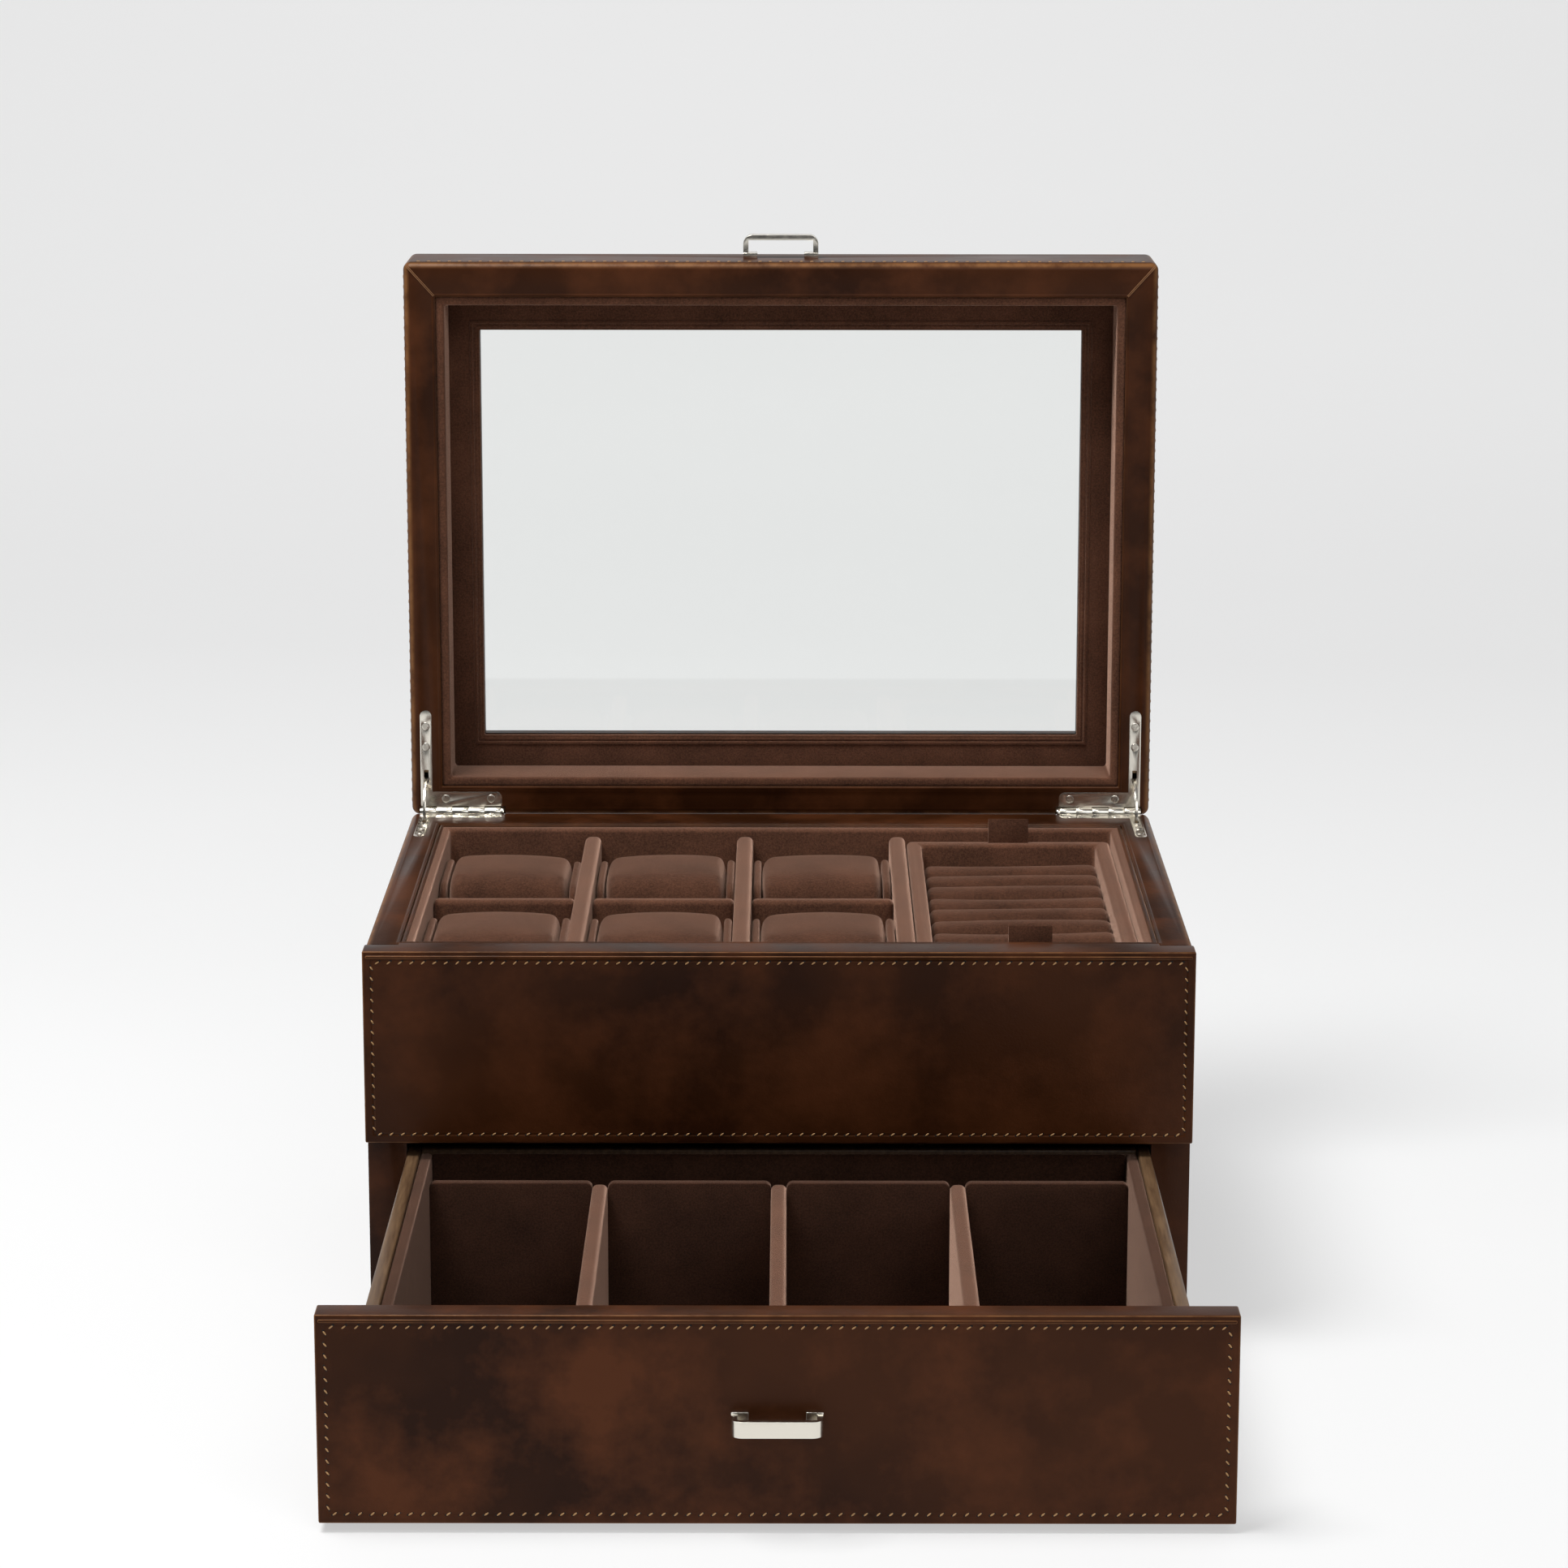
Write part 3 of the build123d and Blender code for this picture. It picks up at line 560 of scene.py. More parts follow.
def dress(piece, body, slot, *nodes, finish=None):
    """Gives a piece its finish and the body it rides on, and hides the CAD nodes it stands for."""
    piece.data.materials.clear()
    piece.data.materials.append(finishes()[finish or slot])
    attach(piece, body)
    if nodes:
        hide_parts(*nodes)
    return piece


def dress_node(node, slot):
    for holder in NODES[node].material_slots:
        holder.material = finishes()[slot]


# ---------------------------------------------------------------- stitching
def stitch_masters():
    look = settings()
    bpy.ops.object.select_all(action="DESELECT")
    bpy.ops.mesh.primitive_uv_sphere_add(segments=8, ring_count=5, radius=0.5)
    stitch = bpy.context.object
    stitch.scale = (look.stitch_length, 0.65 * MM, 0.6 * MM)
    bpy.ops.object.transform_apply(location=True, rotation=True, scale=True)
    bpy.ops.object.select_all(action="DESELECT")
    # The second master is a flat dark disc for each stitch end: painted shade where the needle went
    # through
    bpy.ops.mesh.primitive_uv_sphere_add(segments=8, ring_count=4, radius=0.5)
    hole = bpy.context.object
    hole.scale = (1.35 * MM, 1.1 * MM, 0.3 * MM)
    bpy.ops.object.transform_apply(location=True, rotation=True, scale=True)
    return stitch, hole


def seam(start, end, outward, tilt, seed):
    """Places of the stitches, and of the dark discs painted as shade where the needle went through,
    along one straight seam.
    """
    look, chance = settings(), random.Random(seed)
    start, end, outward = Vector(start), Vector(end), Vector(outward)
    way = (end - start).normalized()
    across = outward.cross(way)
    base = Matrix((way, across, outward)).transposed().to_4x4()
    count = max(1, round((end - start).length / look.stitch_pitch))
    stitches, hole_shades = [], []
    for i in range(count):
        middle = start + (end - start) * ((i + 0.5) / count)
        turn = Matrix.Rotation(math.radians(tilt + chance.uniform(-5, 5)), 4, "Z")
        frame_here = Matrix.Translation(middle) @ base @ turn
        stitches.append(frame_here @ Matrix.Translation((0, 0, 0.05 * MM)))
        for side in SIDES:
            hole_shades.append(frame_here @ Matrix.Translation((side * 0.5 * look.stitch_length, 0, 0)))
    return stitches, hole_shades


def sew(name, body, seams):
    """Stitches of several seams and their dark end discs, as one thread piece and one piece of discs
    painted as the shade where the needle went through.
    """
    stitch, hole = stitch_masters()
    threads = scatter(name + "_thread", stitch, [place for seam_at in seams for place in seam_at[0]])
    hole_shades = scatter(name + "_holes", hole, [place for seam_at in seams for place in seam_at[1]])
    remove(stitch)
    remove(hole)
    dress(threads, body, "leather", finish="thread")
    dress(hole_shades, body, "leather", finish="hole")


def front_seams(low, high, margin, top_margin, tilt, seed):
    """Four seams round a front face that looks towards -Y."""
    x0, x1 = low[0] + margin, high[0] - margin
    z0, z1 = low[2] + margin, high[2] - top_margin
    y, out = low[1] + 0.12 * MM, (0, -1, 0)
    corners = [(x0, y, z1), (x1, y, z1), (x1, y, z0), (x0, y, z0)]
    return [seam(corners[i], corners[(i + 1) % 4], out, tilt, seed + i) for i in range(4)]


# ---------------------------------------------------------------- leather pieces
def stitched_front(name, low, high, margin):
    """A padded leather front: stitch groove and slight crown; its edges are still square."""
    obj = block(name, low, high)
    with editing(obj):
        pick(obj, "faces", facing((0, -1, 0)))
        bpy.ops.mesh.inset(thickness=margin - 0.7 * MM)
        bpy.ops.mesh.inset(thickness=0.6 * MM, depth=-0.35 * MM)
        bpy.ops.mesh.inset(thickness=0.6 * MM, depth=0.35 * MM)
        bpy.ops.mesh.inset(thickness=9 * MM, depth=0.3 * MM)
        bpy.ops.mesh.inset(thickness=8 * MM, depth=0.12 * MM)
    return obj


def welt(name, low, high, drop):
    """A slim raised fold across the top of a front, just below its edge."""
    return pad(name, (low[0] + 1.2 * MM, low[1] - 0.30 * MM, high[2] - drop - 0.7 * MM),
               (high[0] - 1.2 * MM, low[1] + 1.5 * MM, high[2] - drop + 0.7 * MM), 0.6 * MM, 3)


def build_front_panel():
    low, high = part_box("front_panel_leather")
    board_low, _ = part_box("side_board_left")
    back = board_low[1] - 1.2 * MM
    body = stitched_front("front_panel", low, (high[0], back, high[2]), settings().stitch_margin)
    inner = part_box("shelf_board")
    with editing(body):
        for x in (inner[0][0], inner[1][0]):
            bpy.ops.mesh.select_all(action="SELECT")
            bpy.ops.mesh.bisect(plane_co=(x, 0, 0), plane_no=(1, 0, 0))
        bpy.ops.mesh.select_all(action="SELECT")
        bpy.ops.mesh.bisect(plane_co=(0, 0, inner[1][2]), plane_no=(0, 0, 1))
        def tongue(face):
            middle = face.calc_center_median()
            return (face.normal.y > 0.95 and inner[0][0] < middle.x < inner[1][0]
                    and middle.z > inner[1][2])
        pick(body, "faces", tongue)
        bpy.ops.mesh.extrude_region_move(
            TRANSFORM_OT_translate={"value": (0, high[1] - back, 0)})
    soften(body, 1.6 * MM, 4, 50)
    piece = join("front_panel", welt("front_welt", low, high, WELT_DROP), body)
    dress(piece, "case", "leather", "front_panel_leather")
    margin = settings().stitch_margin
    sew("front_panel", "case", front_seams(low, high, margin, margin + FRONT_TOP_EXTRA, 36, 3))


def build_drawer_front():
    low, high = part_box("drawer_front_leather")
    body = stitched_front("drawer_face", low, high, settings().stitch_margin)
    soften(body, 1.7 * MM, 4, 50)
    piece = join("drawer_face", welt("drawer_welt", low, high, WELT_DROP), body)
    dress(piece, "drawer", "leather", "drawer_front_leather", finish="leather_drawer")
    margin = settings().stitch_margin
    sew("drawer_face", "drawer", front_seams(low, high, margin, margin + FRONT_TOP_EXTRA, 38, 11))


def build_case_cover():
    cover = copied("case_leather", "case_cover", COVER_EDGE)
    dress(cover, "case", "leather", "case_leather")
    low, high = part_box("case_leather")
    inner_low, inner_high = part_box("tray_wall_liners")
    top, margin = high[2], SEAM_END
    seams, z = [], high[2] - 5 * MM
    for side in SIDES:
        x = side * (high[0] - SEAM_SINK)
        seams.append(seam((x, low[1] + margin, z), (x, high[1] - margin, z),
                          (side, 0, 0), SEAM_TILT, 20 + side))
    y = high[1] - SEAM_SINK
    seams.append(seam((low[0] + margin, y, z), (high[0] - margin, y, z),
                      (0, 1, 0), SEAM_TILT, 25))
    sew("case_cover", "case", seams)
    beads = []
    for step, (out, width, rise) in enumerate(((PIPING_OUT, PIPING_WIDTH, PIPING_RISE), INNER_PIPING)):
        beads.append(ring(f"rim_bead_{step}",
                          (inner_low[0] - out, inner_low[1] - out, top - PIPING_DEPTH),
                          (inner_high[0] + out, inner_high[1] + out, top + rise),
                          (inner_low[0] - out + width, inner_low[1] - out + width, top - PIPING_DEPTH),
                          (inner_high[0] + out - width, inner_high[1] + out - width, top + rise),
                          2, PIPING_ROUND, 4))
    dress(join("rim_piping", *beads), "case", "leather", finish="piping")


def build_lid_cover():
    cover = copied("lid_leather", "lid_cover", COVER_EDGE)
    dress(cover, "lid", "leather", "lid_leather")
    low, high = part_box("lid_leather")
    velvet_low, velvet_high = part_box("lid_wall_velvet")
    y, margin = low[1] + 4.0 * MM, SEAM_END
    seams = []
    for side in SIDES:
        x = side * (high[0] - SEAM_SINK)
        seams.append(seam((x, y, low[2] + margin), (x, y, high[2] - margin),
                          (side, 0, 0), SEAM_TILT, 30 + side))
    z = high[2] - SEAM_SINK
    seams.append(seam((low[0] + margin, y, z), (high[0] - margin, y, z), (0, 0, 1), SEAM_TILT, 34))
    sew("lid_cover", "lid", seams)
    out, width, rise = PIPING_OUT, PIPING_WIDTH, PIPING_RISE
    bead = ring("lid_piping", (velvet_low[0] - out, low[1] - rise, velvet_low[2] - out),
                (velvet_high[0] + out, low[1] + PIPING_DEPTH, velvet_high[2] + out),
                (velvet_low[0] - out + width, low[1] - rise, velvet_low[2] - out + width),
                (velvet_high[0] + out - width, low[1] + PIPING_DEPTH, velvet_high[2] + out - width),
                1, PIPING_ROUND, 4)
    dress(bead, "lid", "leather", finish="piping")
    edges = []
    for side in SIDES:
        outer = Vector((side * (high[0] - 1.2 * MM), low[1], high[2] - 1.2 * MM))
        inner = Vector((side * velvet_high[0], low[1], velvet_high[2]))
        run = outer - inner
        for step in SIDES:
            strip = pad("mitre_strip", (-run.length / 2, -0.28 * MM, step * 0.28 * MM - 0.16 * MM),
                        (run.length / 2, 0.28 * MM, step * 0.28 * MM + 0.16 * MM), 0.1 * MM, 2)
            strip.data.transform(Matrix.Rotation(-math.atan2(run.z, run.x), 4, "Y"))
            strip.data.transform(Matrix.Translation((outer + inner) / 2))
            edges.append(strip)
    dress(join("mitre_edges", *edges), "lid", "leather", finish="raw_edge")


# ---------------------------------------------------------------- velvet pieces
def build_tray_lining():
    low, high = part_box("tray_wall_liners")
    well_low, well_high = tray_well()
    lining = ring("tray_lining", low, high, (*well_low, low[2]), (*well_high, high[2]), 2, 1.9 * MM, 5)
    dress(lining, "case", "velvet", "tray_wall_liners")
    for place in ("left", "middle", "right"):
        node = f"tray_divider_{place}"
        piece = pad(f"divider_{place}", *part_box(node), 2.6 * MM, 6)
        dress(piece, "case", "velvet", node)
    crosses = [pad("cross_divider", *pair, 2.3 * MM, 6) for pair in solids("tray_cross_dividers")]
    dress(join("cross_dividers", *crosses), "case", "velvet", "tray_cross_dividers")
    dress_node("tray_floor_velvet", "velvet")


def tray_well():
    """The tray's clear opening: between the outermost faces of its dividers."""
    divider_low, divider_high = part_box("tray_divider_left")
    cross_low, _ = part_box("tray_cross_dividers")
    return (cross_low[0], divider_low[1]), (-cross_low[0], divider_high[1])


def cushion(name, low, high, top_radius, voxel, swell, end_radius):
    """A stuffed cover: a rounded block that is remeshed, then swollen as cloth."""
    body = block(name, low, high)
    top = high[2] - 0.1 * MM
    with editing(body, "EDGE"):
        pick(body, "edges", along(0, lambda middle: middle.z > top))
        bpy.ops.mesh.bevel(offset=top_radius, segments=8, affect="EDGES")
        pick(body, "faces", lambda face: abs(face.normal.x) > 0.95)
        bpy.ops.mesh.bevel(offset=end_radius, segments=4, affect="EDGES")
    body.data.remesh_voxel_size = voxel
    activate(body)
    bpy.ops.object.voxel_remesh()
    inflate(body, swell)
    apply_modifier(body, "SMOOTH", factor=0.5, iterations=3)
    apply_modifier(body, "SUBSURF", levels=1, render_levels=1)
    activate(body)
    bpy.ops.object.shade_smooth()
    return body


def inflate(body, swell):
    """Swells a cover under pressure for twenty frames, no point moving further than the cap."""
    before = [vertex.co.copy() for vertex in body.data.vertices]
    activate(body)
    cloth = body.modifiers.new("Cloth", "CLOTH")
    cloth.settings.use_pressure = True
    cloth.settings.uniform_pressure_force = 4.0
    cloth.settings.effector_weights.gravity = 0.0
    for step in range(1, 21):
        bpy.context.scene.frame_set(step)
    bpy.ops.object.modifier_apply(modifier=cloth.name)
    bpy.context.scene.frame_set(1)
    for vertex, start in zip(body.data.vertices, before):
        move = vertex.co - start
        if move.length > swell:
            vertex.co = start + move * (swell / move.length)


def build_pillows():
    look = settings()
    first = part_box("watch_pillow_front_left")
    low, high = first
    flange, step = 3.2 * MM, 3.4 * MM
    gap = look.pillow_swell
    core = cushion("pillow_core", (low[0] + flange + gap * 0.4, low[1] + gap, low[2] + 0.3 * MM),
                   (high[0] - flange - gap * 0.4, high[1] - gap, high[2] - gap * 0.5),
                   14 * MM, 3.2 * MM, gap, 3.2 * MM)
    ends = []
    for x0 in (low[0], high[0] - flange):
        end = block("pillow_end", (x0, low[1], low[2]), (x0 + flange, high[1], high[2] - step))
        with editing(end, "EDGE"):
            pick(end, "edges", along(0, lambda middle: middle.z > high[2] - step - 0.1 * MM))
            bpy.ops.mesh.bevel(offset=12 * MM, segments=8, affect="EDGES")
        soften(end, 1.7 * MM, 4)
        ends.append(end)
    master = join("pillow_master", *ends, core)
    chance = random.Random(5)
    middle_x = (low[0] + high[0]) / 2
    for name in PILLOWS:
        node = f"watch_pillow_{name}"
        box_low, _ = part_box(node)
        slope, crown = chance.uniform(-0.02, 0.012), chance.uniform(1.4, 2.2) * MM
        def settle(co):
            lift = max(0.0, (co.z - low[2]) / (high[2] - low[2]))
            side = (co.x - middle_x) / (high[0] - middle_x)
            tilt = slope * (co.x - middle_x) - 0.5 * MM * abs(slope) * 20
            drop = (tilt - crown * side * side) * lift ** 2
            return Vector((co.x, co.y, co.z + min(0.0, drop)))
        piece = twin(master, f"pillow_{name}", box_low - low, settle)
        dress(piece, f"pillow_{name}", "velvet_cushion", node)
    remove(master)


def build_ring_tray():
    low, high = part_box("ring_tray_frame")
    base_low, base_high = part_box("ring_tray_base")
    walls = ring("ring_frame", low, high, (base_low[0], base_low[1], low[2]),
                 (base_high[0], base_high[1], high[2]), 2, 2.2 * MM, 5)
    dress(walls, "ring_tray", "velvet", "ring_tray_frame")
    dress_node("ring_tray_base", "velvet")
    places = sorted(solids("ring_rolls"), key=lambda pair: pair[0][1])
    first_low, first_high = places[0]
    inset = 0.7 * MM
    master = cushion("roll_master", first_low + Vector((0.2 * MM, inset, 0.2 * MM)),
                     first_high - Vector((0.2 * MM, inset, 0.9 * MM)),
                     7.5 * MM, 2.4 * MM, 0.7 * MM, 2.4 * MM)
    chance = random.Random(9)
    middle_y = (first_low[1] + first_high[1]) / 2
    rolls = []
    for index, (roll_low, _) in enumerate(places):
        bow, slope = chance.uniform(-1.4, 0.2) * MM, chance.uniform(-0.5, 0.1) * MM
        def settle(co):
            lift = max(0.0, (co.z - first_low[2]) / (first_high[2] - first_low[2])) ** 3
            side = 2 * (co.x - first_low[0]) / (first_high[0] - first_low[0]) - 1
            fall = bow * (1 - side * side) + slope - 0.5 * MM * (1 - side)
            slim = 1 - lift * (0.04 + 0.05 * (1 + side))
            return Vector((co.x, middle_y + (co.y - middle_y) * slim, co.z + min(0.0, fall) * lift))
        rolls.append(twin(master, f"ring_roll_{index}", roll_low - first_low, settle))
    remove(master)
    piece = join("ring_rolls_padded", *rolls)
    dress(piece, "ring_tray", "velvet_cushion", "ring_rolls")
    for place, (tab_low, tab_high) in zip(("front", "rear"), solids("ring_tray_tabs")):
        piece, flat_length = folded_tab(f"pull_tab_{place}", tab_low, tab_high)
        dress(piece, "ring_tray", "velvet")
        if place == "rear":
            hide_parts("ring_tray_tabs")


def folded_tab(name, low, high):
    """A strip folded over at its top, and the length that it was cut to."""
    thickness = 0.65 * MM
    bend = (high[1] - low[1]) / 2
    middle_y, fold_z = (low[1] + high[1]) / 2, high[2] - bend
    piece = block(name, low, (high[0], low[1] + thickness, fold_z))
    with editing(piece):
        pick(piece, "faces", facing((0, 0, 1)))
        bpy.ops.mesh.spin(steps=10, angle=-math.pi, center=(0, middle_y, fold_z), axis=(1, 0, 0))
        bpy.ops.mesh.extrude_region_move(TRANSFORM_OT_translate={"value": (0, 0, low[2] - fold_z)})
        bpy.ops.mesh.select_all(action="SELECT")
        bpy.ops.mesh.remove_doubles(threshold=0.01 * MM)
        bpy.ops.mesh.normals_make_consistent(inside=False)
    soften(piece, 0.2 * MM, 2, 50)
    return piece, 2 * (fold_z - low[2]) + math.pi * (bend - thickness / 2)


def build_lid_lining():
    low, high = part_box("lid_wall_velvet")
    wall = 4.2 * MM
    lining = ring("lid_lining", (low[0], low[1] + 0.2 * MM, low[2]), high,
                  (low[0] + wall, low[1], low[2] + wall), (high[0] - wall, high[1], high[2] - wall),
                  1, 1.6 * MM, 5)
    dress(lining, "lid", "velvet", "lid_wall_velvet")
    low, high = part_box("lid_window_velvet")
    glass_low, glass_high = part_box("window_glass")
    lap = 4.8 * MM
    open_low = (glass_low[0] + lap, low[1], glass_low[2] + lap)
    open_high = (glass_high[0] - lap, high[1], glass_high[2] - lap)
    border = ring("window_border", low, high, open_low, open_high, 1, 0.7 * MM, 3)
    dress(border, "lid", "velvet", "lid_window_velvet")
    trims = []
    for index, (out, width, proud) in enumerate(((4.2, 1.5, 0.6), (2.4, 1.3, 0.35))):
        out, width, proud = out * MM, width * MM, proud * MM
        trims.append(ring(f"window_bead_{index}",
                          (open_low[0] - out, low[1] - proud, open_low[2] - out),
                          (open_high[0] + out, low[1] + 0.8 * MM, open_high[2] + out),
                          (open_low[0] - out + width, low[1] - proud, open_low[2] - out + width),
                          (open_high[0] + out - width, low[1] + 0.8 * MM, open_high[2] + out - width),
                          1, 0.5 * MM, 3))
    dress(join("window_trim", *trims), "lid", "velvet")
    dress_node("window_glass", "glass")


# ---------------------------------------------------------------- drawer
def build_drawer_box():
    for side in ("left", "right"):
        node = f"drawer_side_{side}"
        dress(pad(f"drawer_plank_{side}", *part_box(node), 0.9 * MM, 3), "drawer", "drawer_plank", node)
    back = pad("drawer_plank_back", *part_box("drawer_back"), 0.9 * MM, 3)
    dress(back, "drawer", "drawer_plank", "drawer_back")
    # The drawer's lining, cross wall and floor take the darkened velvet copy: painted shade inside the
    # cells
    walls = [pad("drawer_lining", *pair, 1.1 * MM, 4) for pair in solids("drawer_wall_velvet")]
    dress(join("drawer_lining", *walls), "drawer", "velvet", "drawer_wall_velvet", finish="velvet_painted_shade")
    for place in ("left", "middle", "right"):
        node = f"drawer_divider_{place}"
        partition = pad(f"drawer_partition_{place}", *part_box(node), 2.2 * MM, 6)
        dress(partition, "drawer", "velvet", node)
    cross = copied("drawer_cross_panel", "drawer_cross_wall", 0.9 * MM, 3)
    dress(cross, "drawer", "velvet", "drawer_cross_panel", finish="velvet_painted_shade")
    dress_node("drawer_floor_velvet", "velvet_painted_shade")
    dress_node("drawer_bottom", "drawer_plank")


# ---------------------------------------------------------------- fittings
def screw_master(radius):
    """A countersunk head with a cross recess, its top at z = 0, looking up."""
    bpy.ops.object.select_all(action="DESELECT")
    bpy.ops.mesh.primitive_cylinder_add(vertices=32, radius=radius, depth=0.8 * MM,
                                        location=(0, 0, -0.4 * MM))
    head = bpy.context.object
    bpy.ops.object.transform_apply(location=True, rotation=True, scale=True)
    soften(head, 0.3 * MM, 4)
    for turn in (0, 90):
        slot_size = Vector((1.25 * radius, 0.34 * radius, 1.0 * MM)) / 2
        cutter = block("cross_slot", -slot_size, slot_size)
        cutter.data.transform(Matrix.Rotation(math.radians(turn + 28), 4, "Z"))
        apply_modifier(head, "BOOLEAN", object=cutter, operation="DIFFERENCE", solver="EXACT")
        remove(cutter)
    return head


def build_hinges():
    for side in ("left", "right"):
        for owner in ("case", "lid"):
            node = f"hinge_{owner}_leaf_{side}"
            dress(copied(node, f"{owner}_leaf_{side}", METAL_EDGE, 3), owner, "nickel", node)
        dress(copied(f"stay_{side}", f"quadrant_stay_{side}", METAL_EDGE, 3),
              f"stay_{side}", "nickel", f"stay_{side}")
    dress(copied("hinge_pins", "hinge_pins_polished", 0.1 * MM), "case", "nickel", "hinge_pins")
    for owner, out in (("case", (0, 0, 1)), ("lid", (0, -1, 0))):
        node = f"hinge_{owner}_screws"
        pairs = solids(node)
        radius = max(pairs[0][1][0] - pairs[0][0][0], 2 * MM) / 2
        master = screw_master(radius)
        turn = Vector((0, 0, 1)).rotation_difference(Vector(out)).to_matrix().to_4x4()
        places = []
        for number, (low, high) in enumerate(pairs):
            centre = (low + high) / 2
            axis = 2 if owner == "case" else 1
            centre[axis] = high[2] + SCREW_PROUD if owner == "case" else low[1] - SCREW_PROUD
            spin = Matrix.Rotation(math.radians(37 * number), 4, "Z")
            places.append(Matrix.Translation(centre) @ turn @ spin)
        heads = scatter(f"{owner}_screw_heads", master, places)
        remove(master)
        dress(heads, owner, "screw_steel", node)


def build_pulls():
    dress(copied("drawer_pull", "drawer_handle", PULL_EDGE, 4), "drawer", "nickel", "drawer_pull")
    dress(copied("lid_pull", "lid_handle", PULL_EDGE, 4), "lid", "nickel", "lid_pull")
    dress_node("drawer_pull_screws", "screw_steel")
    dress_node("lid_pull_screws", "screw_steel")


def build_boards():
    boards = ["base_board", "side_board_left", "side_board_right", "back_board", "shelf_board",
              "front_panel_board", "drawer_front_board", "lid_front_board", "lid_rear_board",
              "lid_left_board", "lid_right_board"]
    for node in boards:
        dress_node(node, "board")
    dress_node("lid_top_rails", "leather")
    dress_node("base_felt", "felt")
    dress_node("bay_lining", "bay_lining")


# ---------------------------------------------------------------- stage
def pale_finish(tree, shader):
    tone = ramp(tree, noise_at(tree, 3.0, 2.0), 0.3, 0.7, 0.0, 1.0)
    dark, light = (opaque([grey] * 3) for grey in PAPER)
    link(tree, blended(tree, tone, dark, light), shader, "Base Color")
    shader.inputs["Roughness"].default_value = 0.9
    shader.inputs["Emission Color"].default_value = (1.0, 1.0, 1.0, 1.0)
    shader.inputs["Emission Strength"].default_value = PAPER_GLOW


def area_light(name, place, target, size, power):
    bpy.ops.object.select_all(action="DESELECT")
    way = Vector(target) - Vector(place)
    bpy.ops.object.light_add(type="AREA", location=place,
                             rotation=way.to_track_quat("-Z", "Y").to_euler())
    lamp = bpy.context.object
    lamp.name = name
    lamp.data.size, lamp.data.energy = size, power


def build_stage():
    scene = bpy.context.scene
    bpy.ops.object.select_all(action="DESELECT")
    bpy.ops.mesh.primitive_plane_add(size=12, location=(0, 0, 0))
    floor = bpy.context.object
    floor.name = "studio_floor"
    with editing(floor, "EDGE"):
        pick(floor, "edges", along(0, lambda middle: middle.y > 5))
        bpy.ops.mesh.extrude_region_move(TRANSFORM_OT_translate={"value": (0, 0, 6)})
        pick(floor, "edges", along(0, lambda middle: middle.y > 5 and middle.z < 0.1))
        bpy.ops.mesh.bevel(offset=3.5, segments=16, affect="EDGES")
    smooth(floor, 60)
    floor.data.materials.append(material("studio_paper", pale_finish))
    world = bpy.data.worlds.new("soft_studio")
    scene.world = world
    world.use_nodes = True
    tree = world.node_tree
    way = add(tree, "SeparateXYZ", {0: add(tree, "TexCoord").outputs["Generated"]}).outputs
    rear = maths(tree, "ADD", way["Y"], maths(tree, "MULTIPLY", way["Z"], 0.9))
    strength = ramp(tree, rear, -0.9, 1.0, *WORLD_STRENGTH)
    background = tree.nodes["Background"]
    background.inputs[0].default_value = (0.97, 0.985, 1.0, 1)
    tree.links.new(strength, background.inputs[1])
    for lamp in LIGHTS:
        area_light(*lamp)
    scene.view_settings.view_transform = "Standard"
    bpy.ops.object.camera_add(location=CAMERA_PLACE,
                              rotation=(math.pi / 2 - CAMERA_PITCH, CAMERA_ROLL, CAMERA_YAW))
    camera = bpy.context.object
    camera.data.lens, camera.data.sensor_width = CAMERA_LENS, SENSOR_WIDTH
    scene.camera = camera


# ---------------------------------------------------------------- add-on
class Step:
    """What every step shares: it builds its pieces and is done."""

    def execute(self, context):
        self.build()
        return {"FINISHED"}


class MakeStage(Step, bpy.types.Operator):
    """Set up the pale studio, its lights and the camera"""
    bl_idname = "jewellery_case.stage"
    bl_label = "Studio"
    build = staticmethod(build_stage)


class MakeBoards(Step, bpy.types.Operator):
    """Finish the fibreboard carcass, the base felt and the bay lining"""
    bl_idname = "jewellery_case.boards"
    bl_label = "Boards and felt"
    build = staticmethod(build_boards)


class MakeFrontPanel(Step, bpy.types.Operator):
    """Model the stitched leather front panel"""
    bl_idname = "jewellery_case.front_panel"
    bl_label = "Front panel"
    build = staticmethod(build_front_panel)


class MakeDrawerFront(Step, bpy.types.Operator):
    """Model the stitched leather drawer front"""
    bl_idname = "jewellery_case.drawer_front"
    bl_label = "Drawer front"
    build = staticmethod(build_drawer_front)


class MakeCaseCover(Step, bpy.types.Operator):
    """Model the case's leather cover, its seams and rim piping"""
    bl_idname = "jewellery_case.case_cover"
    bl_label = "Case cover"
    build = staticmethod(build_case_cover)


class MakeLidCover(Step, bpy.types.Operator):
    """Model the lid's leather cover, its seams, piping and mitres"""
    bl_idname = "jewellery_case.lid_cover"
    bl_label = "Lid cover"
    build = staticmethod(build_lid_cover)


class MakeTrayLining(Step, bpy.types.Operator):
    """Model the velvet walls and dividers of the upper tray"""
    bl_idname = "jewellery_case.tray_lining"
    bl_label = "Tray lining"
    build = staticmethod(build_tray_lining)


class MakePillows(Step, bpy.types.Operator):
    """Model the six stuffed watch pillows"""
    bl_idname = "jewellery_case.pillows"
    bl_label = "Watch pillows"
    build = staticmethod(build_pillows)


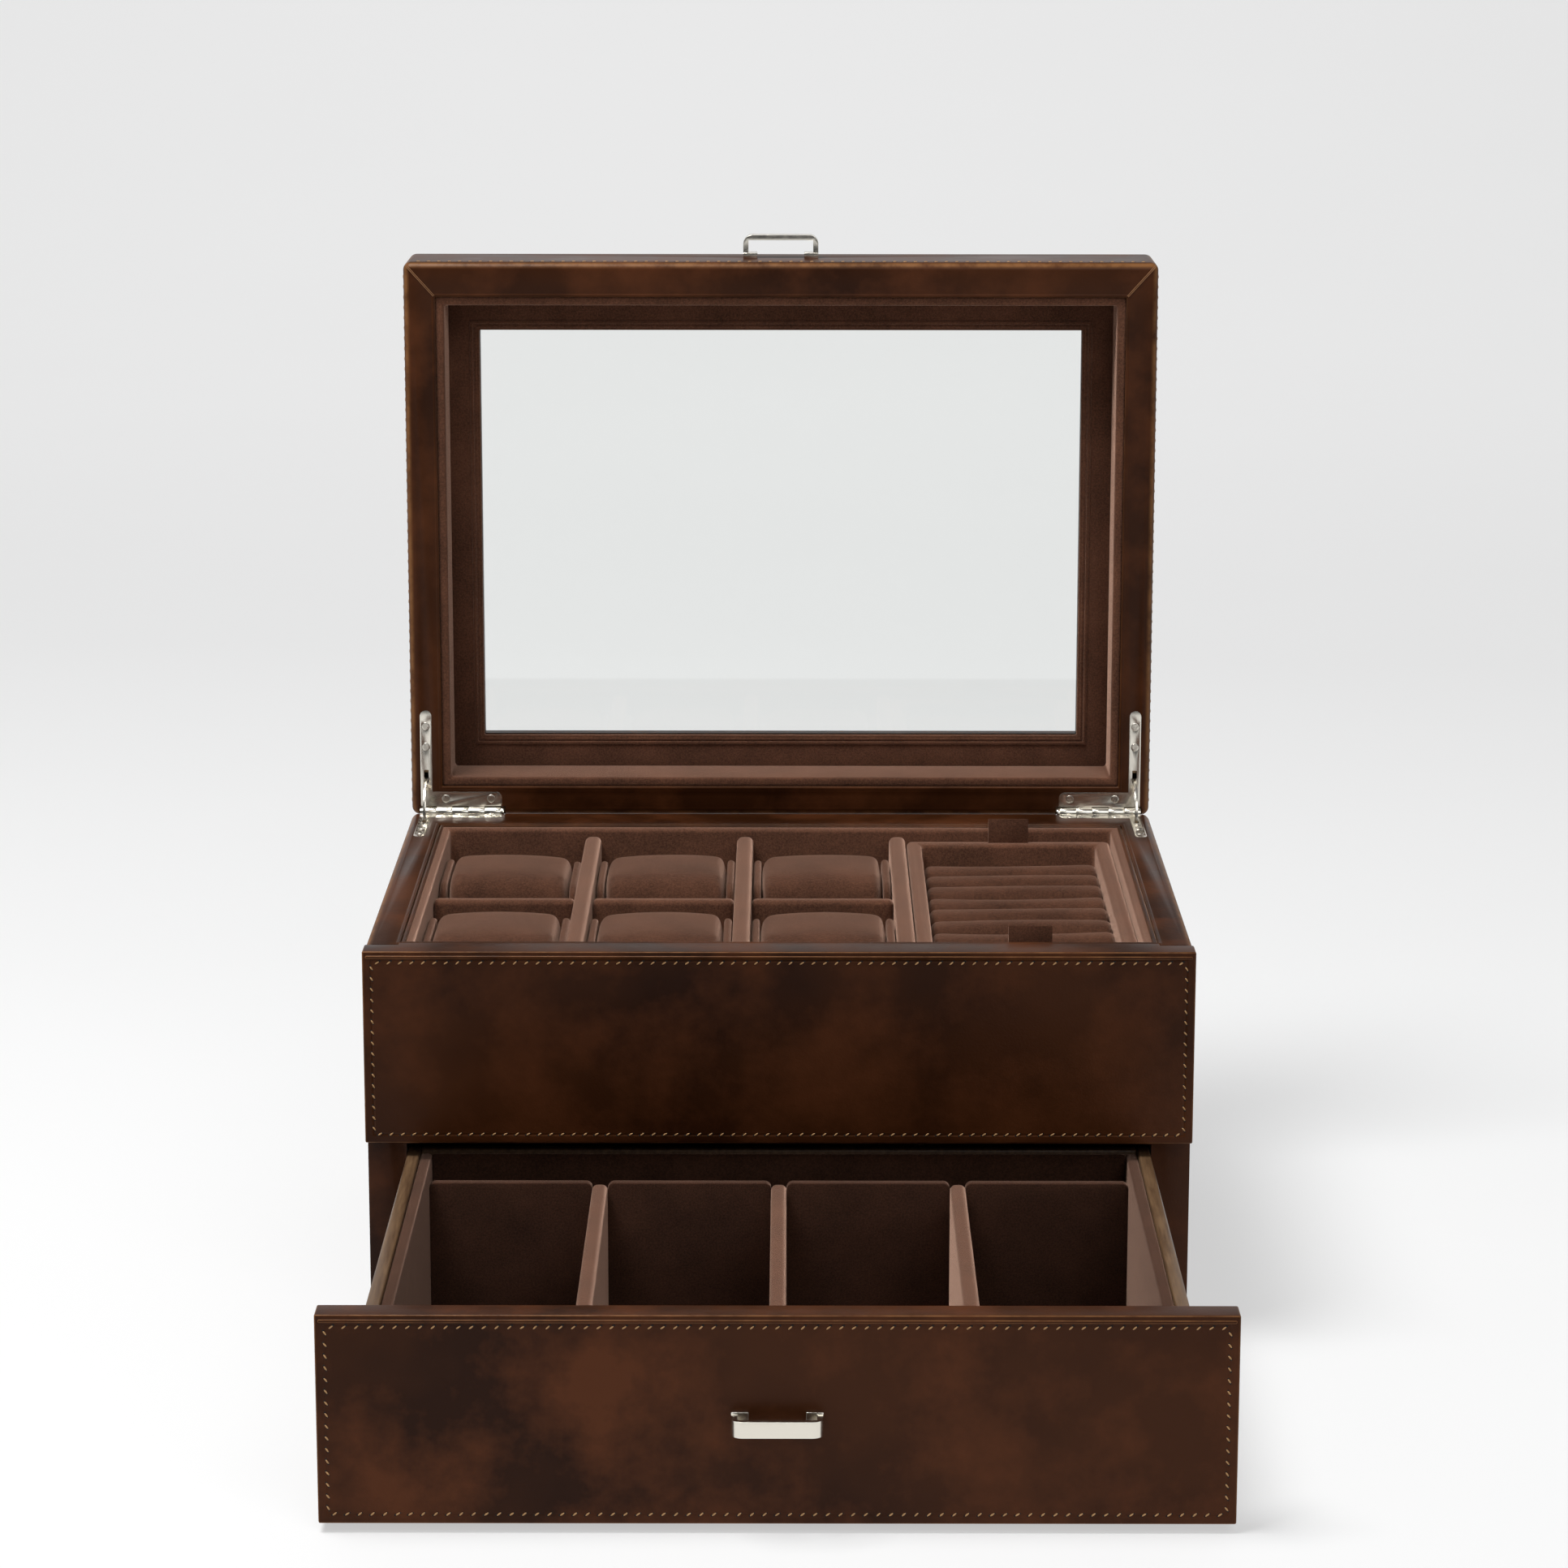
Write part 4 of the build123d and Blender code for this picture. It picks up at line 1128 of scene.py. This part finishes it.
class MakeRingTray(Step, bpy.types.Operator):
    """Model the lift-out ring tray, its rolls and pull tabs"""
    bl_idname = "jewellery_case.ring_tray"
    bl_label = "Ring tray"
    build = staticmethod(build_ring_tray)


class MakeLidLining(Step, bpy.types.Operator):
    """Model the lid's velvet lining and the window's trim"""
    bl_idname = "jewellery_case.lid_lining"
    bl_label = "Lid lining"
    build = staticmethod(build_lid_lining)


class MakeDrawerBox(Step, bpy.types.Operator):
    """Model the drawer's planks, lining and partitions"""
    bl_idname = "jewellery_case.drawer_box"
    bl_label = "Drawer box"
    build = staticmethod(build_drawer_box)


class MakeHinges(Step, bpy.types.Operator):
    """Model the hinges, their stays, pins and screw heads"""
    bl_idname = "jewellery_case.hinges"
    bl_label = "Hinges"
    build = staticmethod(build_hinges)


class MakePulls(Step, bpy.types.Operator):
    """Model the polished pulls of the drawer and the lid"""
    bl_idname = "jewellery_case.pulls"
    bl_label = "Pulls"
    build = staticmethod(build_pulls)


STEPS = (MakeStage, MakeBoards, MakeFrontPanel, MakeDrawerFront, MakeCaseCover, MakeLidCover,
         MakeTrayLining, MakePillows, MakeRingTray, MakeLidLining, MakeDrawerBox, MakeHinges, MakePulls)


class CasePanel(bpy.types.Panel):
    """Lists every step in the sidebar"""
    bl_label = "Jewellery case"
    bl_idname = "VIEW3D_PT_jewellery_case"
    bl_space_type = "VIEW_3D"
    bl_region_type = "UI"
    bl_category = "Case"

    def draw(self, context):
        for name in CaseSettings.__annotations__:
            self.layout.prop(context.scene.jewellery_case, name)
        for step in STEPS:
            self.layout.operator(step.bl_idname)


def register():
    for item in (CaseSettings, *STEPS, CasePanel):
        bpy.utils.register_class(item)
    bpy.types.Scene.jewellery_case = PointerProperty(type=CaseSettings)


def unregister():
    del bpy.types.Scene.jewellery_case
    for item in reversed((CaseSettings, *STEPS, CasePanel)):
        bpy.utils.unregister_class(item)


def main():
    register()
    for step in STEPS:
        getattr(bpy.ops.jewellery_case, step.bl_idname.split(".")[1])()


if __name__ == "__main__":
    main()
